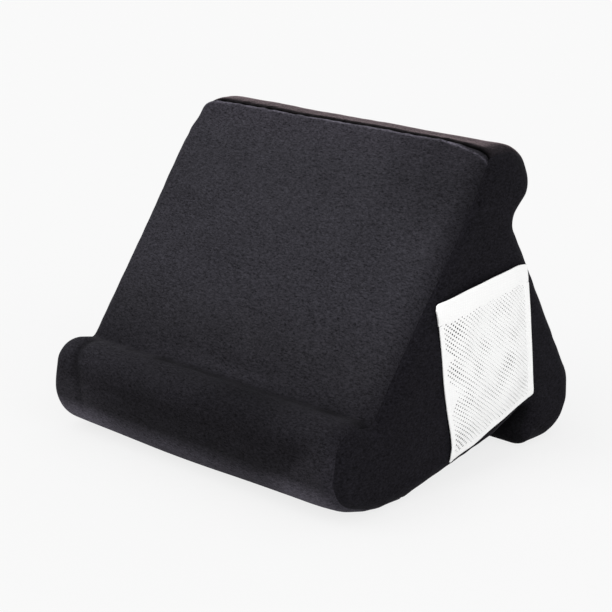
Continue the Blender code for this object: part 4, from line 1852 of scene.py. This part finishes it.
    def points(self, along: np.ndarray, up: np.ndarray, off: float = 0.0) -> np.ndarray:
        """The net's middle surface: close to the end at its sewn edges, off it between them.

        Args:
            along: shares along the pocket, from its front to its rear.
            up: shares up the pocket.
            off: how far outside the net's middle the points are.

        Returns:
            The points in the row frame.
        """
        part = along[..., None]
        low = self.front_low * (1 - part) + self.rear_low * part
        high = self.front_top * (1 - part) + self.rear_top * part
        part_way = np.clip(along, 0, 1)
        by_rear = part_way ** self.rear_arch_power * (1 - part_way) / self.rear_arch_peak
        arch = self.top_arch * np.sin(math.pi * part_way) + self.rear_arch * by_rear
        high = high + np.stack((np.zeros_like(arch), arch), axis=-1)
        rise = up[..., None]
        spots = low * (1 - rise) + high * rise
        bow = self.front_bow.over(up) * np.clip(up / self.front_bow_start, 0, 1)
        bow = bow * np.clip(1 - along, 0, 1) ** self.front_bow_power
        spots = spots + np.stack((bow, np.zeros_like(bow)), axis=-1)
        near_side = smooth_step(np.minimum(along, 1 - along) * self.width / self.flare)
        near_floor = smooth_step(up * self.height / self.flare)
        slack = self.slack_height * waves(spots, self.slack_length, SLACK_SEED, count=8) * near_side
        edge = waves(spots, self.edge_wander_length, EDGE_SEED, count=6)
        spots = spots + edge[..., None] * np.array(self.edge_wander)
        x = self.end_height(spots) + self.seat + self.depth * near_side * near_floor + slack + off
        return self.form.placed(np.concatenate((x[..., None], spots), axis=-1))

    def net(self) -> bpy.types.Object:
        """The net: sloping rows of small holes, each in a cell of yarn that it shares with its neighbours.

        Returns:
            The piece.
        """
        along_way = (self.rear_low - self.front_low + self.rear_top - self.front_top) / (2 * self.width)
        up_way = (self.front_top - self.front_low + self.rear_top - self.rear_low) / (2 * self.height)
        knit = np.linalg.solve(np.column_stack((along_way, up_way)),
                               np.column_stack((self.knit_wale, self.knit_course)))
        rim = np.array(((-1, -1), (0, -1), (1, -1), (1, 0), (1, 1), (0, 1), (-1, 1), (-1, 0))) / 2
        spokes = rim @ knit.T
        edge = self.net_margin
        low = np.array((edge, 0.0))
        high = np.array((self.width - edge, self.height - self.top_tape_width * self.net_under_tape))
        corners = np.array((low, high, (low[0], high[1]), (high[0], low[1])))
        reach = corners @ np.linalg.inv(knit).T
        first = np.floor(reach.min(axis=0)).astype(int) - 1
        last = np.ceil(reach.max(axis=0)).astype(int) + 2
        points: list[tuple[float, float]] = []
        known: dict[tuple[int, int], int] = {}
        faces: list[tuple[int, ...]] = []

        def shared(place: np.ndarray) -> int:
            """Numbers a cell's rim point, which neighbouring cells share.

            Args:
                place: the point on the flat net.

            Returns:
                Its number.
            """
            place = np.clip(place, low, high)
            key = (round(place[0] / self.rim_grid), round(place[1] / self.rim_grid))
            if key not in known:
                known[key] = len(points)
                points.append(tuple(place))
            return known[key]

        for wale in range(first[0], last[0]):
            for course in range(first[1], last[1]):
                middle = knit @ (wale, course)
                if np.any(middle < low - 2 * edge) or np.any(middle > high + 2 * edge):
                    continue
                outer = [shared(middle + spoke) for spoke in spokes]
                unique = list(dict.fromkeys(outer))
                if self.enclosed([points[number] for number in unique]) < self.least_cell:
                    continue
                if len(unique) < len(rim) or not self.is_knitted(middle):
                    faces.append(tuple(unique))
                    continue
                growth = self.hole_growth(middle[0] / self.width, middle[1] / self.height)
                hole = self.hole_width / 2 * growth
                start = len(points)
                points += [tuple(place) for place in middle + unit(spokes) * hole]
                for index in range(len(rim)):
                    after = (index + 1) % len(rim)
                    faces.append((outer[index], outer[after], start + after, start + index))
        flat = np.array(points)
        placed = self.points(flat[:, 0] / self.width, flat[:, 1] / self.height)
        made = piece("pocket_net_knit", placed, faces, KNITTED_NET.material(), Slot.NET, "pocket_net")
        thicken(made, self.net_thickness, 0)
        return made

    def enclosed(self, places: list[tuple[float, float]]) -> float:
        """The area inside some places in order."""
        y, z = np.array(places).T
        return abs(float(y @ np.roll(z, -1) - z @ np.roll(y, -1))) / 2

    def is_knitted(self, middle: np.ndarray) -> bool:
        """Whether the net has a hole at a place, and not plain cloth or a tape.

        Args:
            middle: the place on the flat net.

        Returns:
            True where it has.
        """
        border = self.plain_border
        for up, reach, width in PLAIN_PLACES:
            border += width * math.exp(-((middle[1] / self.height - up) / reach) ** 2)
        return (
            border < middle[0] < self.width - self.rear_tape_width * self.clear_of_rear_tape
            and self.foot_border < middle[1] < self.height - self.top_tape_width * self.clear_of_top_tape
        )

    def hole_growth(self, along: float, up: float) -> float:
        """How open the net is at a place, where 1 is usual.

        Args:
            along: the share along the pocket.
            up: the share up the pocket.

        Returns:
            The scale of the hole there.
        """
        spot = np.array((along * self.width, up * self.height))
        growth = 1 + self.hole_wander * float(waves(spot, self.hole_wander_length, HOLE_SEED))
        for patch_along, patch_up, reach, opening in STRETCHED_PATCHES:
            away = math.hypot((along - patch_along) * self.width, (up - patch_up) * self.height)
            growth += opening * math.exp(-(away / reach) ** 2)
        return min(max(growth, self.least_growth), self.most_growth)

    def ribbon(self, name: str, grid: np.ndarray, thickness: float, finish: bpy.types.Material, slot: Slot,
               node: str) -> bpy.types.Object:
        """A ribbon of tape through rows of points.

        Args:
            name: the piece's name.
            grid: its rows of points.
            thickness: its thickness.
            finish: its material.
            slot: its material slot.
            node: the CAD node that it replaces.

        Returns:
            The piece.
        """
        made = piece(name, grid, grid_faces(*grid.shape[:2]), finish, slot, node)
        thicken(made, thickness, 0)
        return made

    def folded(self, along: np.ndarray, up: np.ndarray, fold_along: np.ndarray, fold_up: np.ndarray
               ) -> np.ndarray:
        """The rows of a tape folded over an edge: its inner leg, its fold and its outer leg.

        Args:
            along: the legs' shares along the pocket, in rows that end at the fold.
            up: the legs' shares up the pocket.
            fold_along: the fold's own shares along the pocket.
            fold_up: the fold's own shares up the pocket.

        Returns:
            The rows of points.
        """
        pitch = self.leg_pitch(np.linspace(0, 1, len(along))[:, None])
        inner = self.points(along, up, -self.tape_pitch)
        turn = [self.points(fold_along, fold_up, self.tape_pitch * off)[None] for off in self.fold_offsets]
        outer = self.points(along, up, pitch)[::-1]
        return np.concatenate([inner, *turn, outer])

    def leg_pitch(self, share: np.ndarray | float) -> np.ndarray:
        """How far out a tape's outer leg is, by the share of its width from its sewn edge."""
        rise = smooth_step(share / self.leg_fade)
        return self.tape_sewn_pitch + (self.tape_pitch - self.tape_sewn_pitch) * rise

    def tapes(self) -> list[bpy.types.Object]:
        """The three tapes and the elastic inside the top one.

        Returns:
            The pieces.
        """
        finish = WOVEN_TAPE.material()
        fold = self.tape_thickness * self.fold_share
        steps = self.tape_steps
        made = []
        along = np.linspace(0, 1, steps)
        band = self.top_tape_width / self.height
        from_front = (1 - np.cos(np.linspace(0, 1, steps) * math.pi / 2)) ** 0.5
        eared = from_front * (1 + self.dog_ear / self.width) - self.dog_ear / self.width
        reach = np.clip((eared * self.width + self.dog_ear) / self.dog_ear_radius, 0, 1)
        cut = self.dog_ear_radius * (1 - np.sqrt(1 - (1 - reach) ** 2)) / self.height
        shares = np.linspace(0, 1, self.top_tape_rows)[:, None]
        grid_up = 1 - band + shares * (band - cut)
        grid_along = np.broadcast_to(eared, grid_up.shape)
        rows = self.folded(grid_along, grid_up, eared, 1 + fold / self.height - cut)
        made.append(self.ribbon("pocket_top_binding", rows, self.tape_thickness, finish, Slot.TAPE,
                                "pocket_top_tape"))
        narrow = np.linspace(1 - band * self.elastic_reach, 1 - self.elastic_margin / self.height,
                             self.elastic_rows)
        elastic_up = np.broadcast_to(narrow[:, None], (len(narrow), steps))
        first, span = self.elastic_span
        elastic = self.points(np.broadcast_to(along * span + first, elastic_up.shape), elastic_up)
        made.append(self.ribbon("pocket_elastic_band", elastic, self.elastic_thickness,
                                FLAT_ELASTIC.material(), Slot.ELASTIC, "pocket_elastic"))
        up = np.linspace(0, 1 - band * self.side_tape_top, steps)
        for name, node, width, start, towards in (
            ("pocket_front_binding", "pocket_front_tape", self.side_tape_width, 0.0, 1),
            ("pocket_rear_binding", "pocket_rear_tape", self.rear_tape_width, 1.0, -1),
        ):
            shares = start + towards * np.linspace(width / self.width, 0, self.side_tape_rows)
            grid_along = np.broadcast_to(shares[:, None], (len(shares), steps))
            grid_up = np.broadcast_to(up, grid_along.shape)
            edge = np.full(steps, start - towards * fold / self.width)
            rows = self.folded(grid_along, grid_up, edge, up)
            made.append(self.ribbon(name, rows, self.tape_thickness, finish, Slot.TAPE, node))
        return made

    def stitches(self) -> bpy.types.Object:
        """Rows of lock stitches that hold the tapes.

        Returns:
            The piece, with one small body for each stitch.
        """
        band = self.top_tape_width / self.height
        near_edge = self.stitch_near_edge
        aside, above = self.stitch_margins
        lines = [(aside, 1 - band * (1 - share), 1 - aside, 1 - band * (1 - share), share)
                 for share in (near_edge, self.stitch_near_fold)]
        for along in (self.side_tape_width * (1 - near_edge) / self.width,
                      1 - self.rear_tape_width * (1 - near_edge) / self.width):
            lines.append((along, above, along, 1 - band, near_edge))
        rings = self.stitch_rings
        sides = self.stitch_sides
        tips = self.stitch_tip
        points = []
        faces = []
        for along_0, up_0, along_1, up_1, share in lines:
            out = float(self.leg_pitch(share)) + self.tape_thickness / 2
            length = math.hypot((along_1 - along_0) * self.width, (up_1 - up_0) * self.height)
            count = int(length / self.stitch_pitch)
            for index in range(count):
                middle = (index + 0.5) / count
                half = self.stitch_length / (2 * length)
                shares = middle + half * np.linspace(-1, 1, rings)
                along = along_0 + (along_1 - along_0) * shares
                spine = self.points(along, up_0 + (up_1 - up_0) * shares, out)
                forward = unit(spine[-1] - spine[0])
                side = unit(np.cross(forward, (1.0, 0.0, 0.0)))
                outward = np.cross(side, forward)
                start = len(points)
                for ring in range(rings):
                    swell = math.sin(math.pi * (ring + tips) / (rings + 2 * tips - 1))
                    swell = max(swell * self.stitch_thickness / 2, self.least_thread)
                    for corner in range(sides):
                        angle = 2 * math.pi * corner / sides
                        spoke = side * math.cos(angle) + outward * math.sin(angle)
                        points.append(spine[ring] + spoke * swell)
                faces += capped_faces(rings, sides, start)
        made = piece("pocket_stitches", np.array(points), faces, SEWING_THREAD.material(), Slot.TAPE)
        face_outwards(made)
        return made

    def build(self) -> list[bpy.types.Object]:
        """Returns:
            The pieces.
        """
        net = self.net()
        bound = self.tapes() + [self.stitches()]
        return [net, *bound]


# The studio


@dataclass(frozen=True)
class Lamp:
    """A soft lamp: the way to it from the object, its watts a square metre, and how wide it looks."""

    name: str
    towards: tuple[float, float, float]
    strength: float
    spread: float


@dataclass
class Studio:
    """A pale floor, soft light and a camera at the photograph's angle."""

    backdrop: str = "#f9f9f9"
    azimuth: float = math.radians(42.896)
    elevation: float = math.radians(17.046)
    distance: float = 1.275855
    aim: tuple[float, float, float] = (0.01356, -0.02384, 0.10494)
    lens_mm: float = 104.295
    sensor_mm: float = 36.0
    ambient: float = 0.66
    floor_size: float = 12.0
    shadow_share: float = 0.16
    full_light: float = 1.07
    nearest_seen: float = 0.05
    lit_grey: tuple[float, float, float, float] = (0.8, 0.8, 0.8, 1)
    lamps: tuple[Lamp, ...] = (
        Lamp("key", (-0.35, -0.75, 1.0), 1.15, math.radians(50)),
        Lamp("fill", (1.0, -0.35, 0.55), 0.95, math.radians(60)),
    )

    def camera(self) -> None:
        """Sets up the camera, which looks from the right and a little above."""
        data = bpy.data.cameras.new("photo_camera")
        data.lens = self.lens_mm
        data.sensor_width = self.sensor_mm
        data.clip_start = self.nearest_seen
        camera = bpy.data.objects.new("photo_camera", data)
        forward = Vector((
            -math.sin(self.azimuth) * math.cos(self.elevation),
            math.cos(self.azimuth) * math.cos(self.elevation),
            -math.sin(self.elevation),
        ))
        camera.location = Vector(self.aim) - forward * self.distance
        camera.rotation_euler = (math.pi / 2 - self.elevation, 0.0, self.azimuth)
        bpy.context.scene.collection.objects.link(camera)
        bpy.context.scene.camera = camera

    def light(self, lamp: Lamp) -> None:
        """Sets up one soft lamp.

        Args:
            lamp: the lamp.
        """
        data = bpy.data.lights.new(lamp.name, "SUN")
        data.energy = lamp.strength
        data.angle = lamp.spread
        made = bpy.data.objects.new(lamp.name, data)
        made.rotation_euler = Vector(lamp.towards).to_track_quat("Z", "Y").to_euler()
        bpy.context.scene.collection.objects.link(made)

    def seen_or_mirrored(self, tree: bpy.types.NodeTree) -> bpy.types.NodeSocket:
        """Finds the rays that show the backdrop itself: from the camera, a mirror or glass.

        Args:
            tree: the nodes to add to.

        Returns:
            1 for those rays and 0 for the others.
        """
        path = add_node(tree, "ShaderNodeLightPath")
        either = add_node(tree, "ShaderNodeMath", {"operation": "MAXIMUM"},
                          {0: path.outputs["Is Camera Ray"], 1: path.outputs["Is Glossy Ray"]})
        both = add_node(tree, "ShaderNodeMath", {"operation": "MAXIMUM"},
                        {0: either.outputs["Value"], 1: path.outputs["Is Transmission Ray"]})
        return both.outputs["Value"]

    def world(self) -> None:
        """Even light from all around, seen as the pale backdrop."""
        world = bpy.data.worlds.new("studio")
        bpy.context.scene.world = world
        world.use_nodes = True
        tree = world.node_tree
        tree.nodes.clear()
        seen = self.seen_or_mirrored(tree)
        light = add_node(tree, "ShaderNodeBackground", {"Color": (1, 1, 1, 1), "Strength": self.ambient})
        shown = add_node(tree, "ShaderNodeBackground", {"Color": linear(self.backdrop), "Strength": 1.0})
        mixed = add_node(tree, "ShaderNodeMixShader",
                         links={0: seen, 1: light.outputs[0], 2: shown.outputs[0]})
        add_node(tree, "ShaderNodeOutputWorld", links={"Surface": mixed.outputs[0]})

    def floor(self) -> None:
        """A pale floor that keeps the stand's soft shadow."""
        half = self.floor_size / 2
        mesh = bpy.data.meshes.new("floor")
        mesh.from_pydata([(-half, -half, 0), (half, -half, 0), (half, half, 0), (-half, half, 0)], [],
                         [(0, 1, 2, 3)])
        floor = bpy.data.objects.new("floor", mesh)
        bpy.context.scene.collection.objects.link(floor)
        material, tree = new_tree("pale_floor")
        seen = self.seen_or_mirrored(tree)
        red, green, blue, _ = linear(self.backdrop)
        glow_share = 1 - self.shadow_share
        kept = self.shadow_share / self.full_light
        glow = add_node(tree, "ShaderNodeEmission", {
            "Color": (red, green, blue, 1), "Strength": glow_share,
        })
        matt = add_node(tree, "ShaderNodeBsdfDiffuse", {
            "Color": (red * kept, green * kept, blue * kept, 1),
        })
        shown = add_node(tree, "ShaderNodeAddShader", links={0: glow.outputs[0], 1: matt.outputs[0]})
        lit = add_node(tree, "ShaderNodeBsdfDiffuse", {"Color": self.lit_grey})
        mixed = add_node(tree, "ShaderNodeMixShader",
                         links={0: seen, 1: lit.outputs[0], 2: shown.outputs[0]})
        add_node(tree, "ShaderNodeOutputMaterial", links={"Surface": mixed.outputs[0]})
        mesh.materials.append(material)

    def build(self) -> None:
        """Sets up the camera, the lamps, the world and the floor."""
        bpy.context.scene.view_settings.view_transform = "Standard"
        self.camera()
        for lamp in self.lamps:
            self.light(lamp)
        self.world()
        self.floor()


def report(made: bpy.types.Object) -> None:
    """Logs a piece with its counts and its box.

    Args:
        made: the piece.
    """
    corners = np.array([vertex.co for vertex in made.data.vertices])
    size = (corners.max(axis=0) - corners.min(axis=0)) / MM
    log.info("%s: %d vertices, %.1f x %.1f x %.1f mm", made.name, len(corners), *size)


def main() -> None:
    """Builds the stand's pieces and the studio around them."""
    logging.basicConfig(level=logging.INFO, format="%(name)s: %(message)s")
    form = CushionForm(SideOutline())
    made = [FoamCore(form).build()]
    made += Cover(form).build()
    made += NetPocket(form).build()
    for one in made:
        report(one)
    Studio().build()


if __name__ == "__main__":
    main()
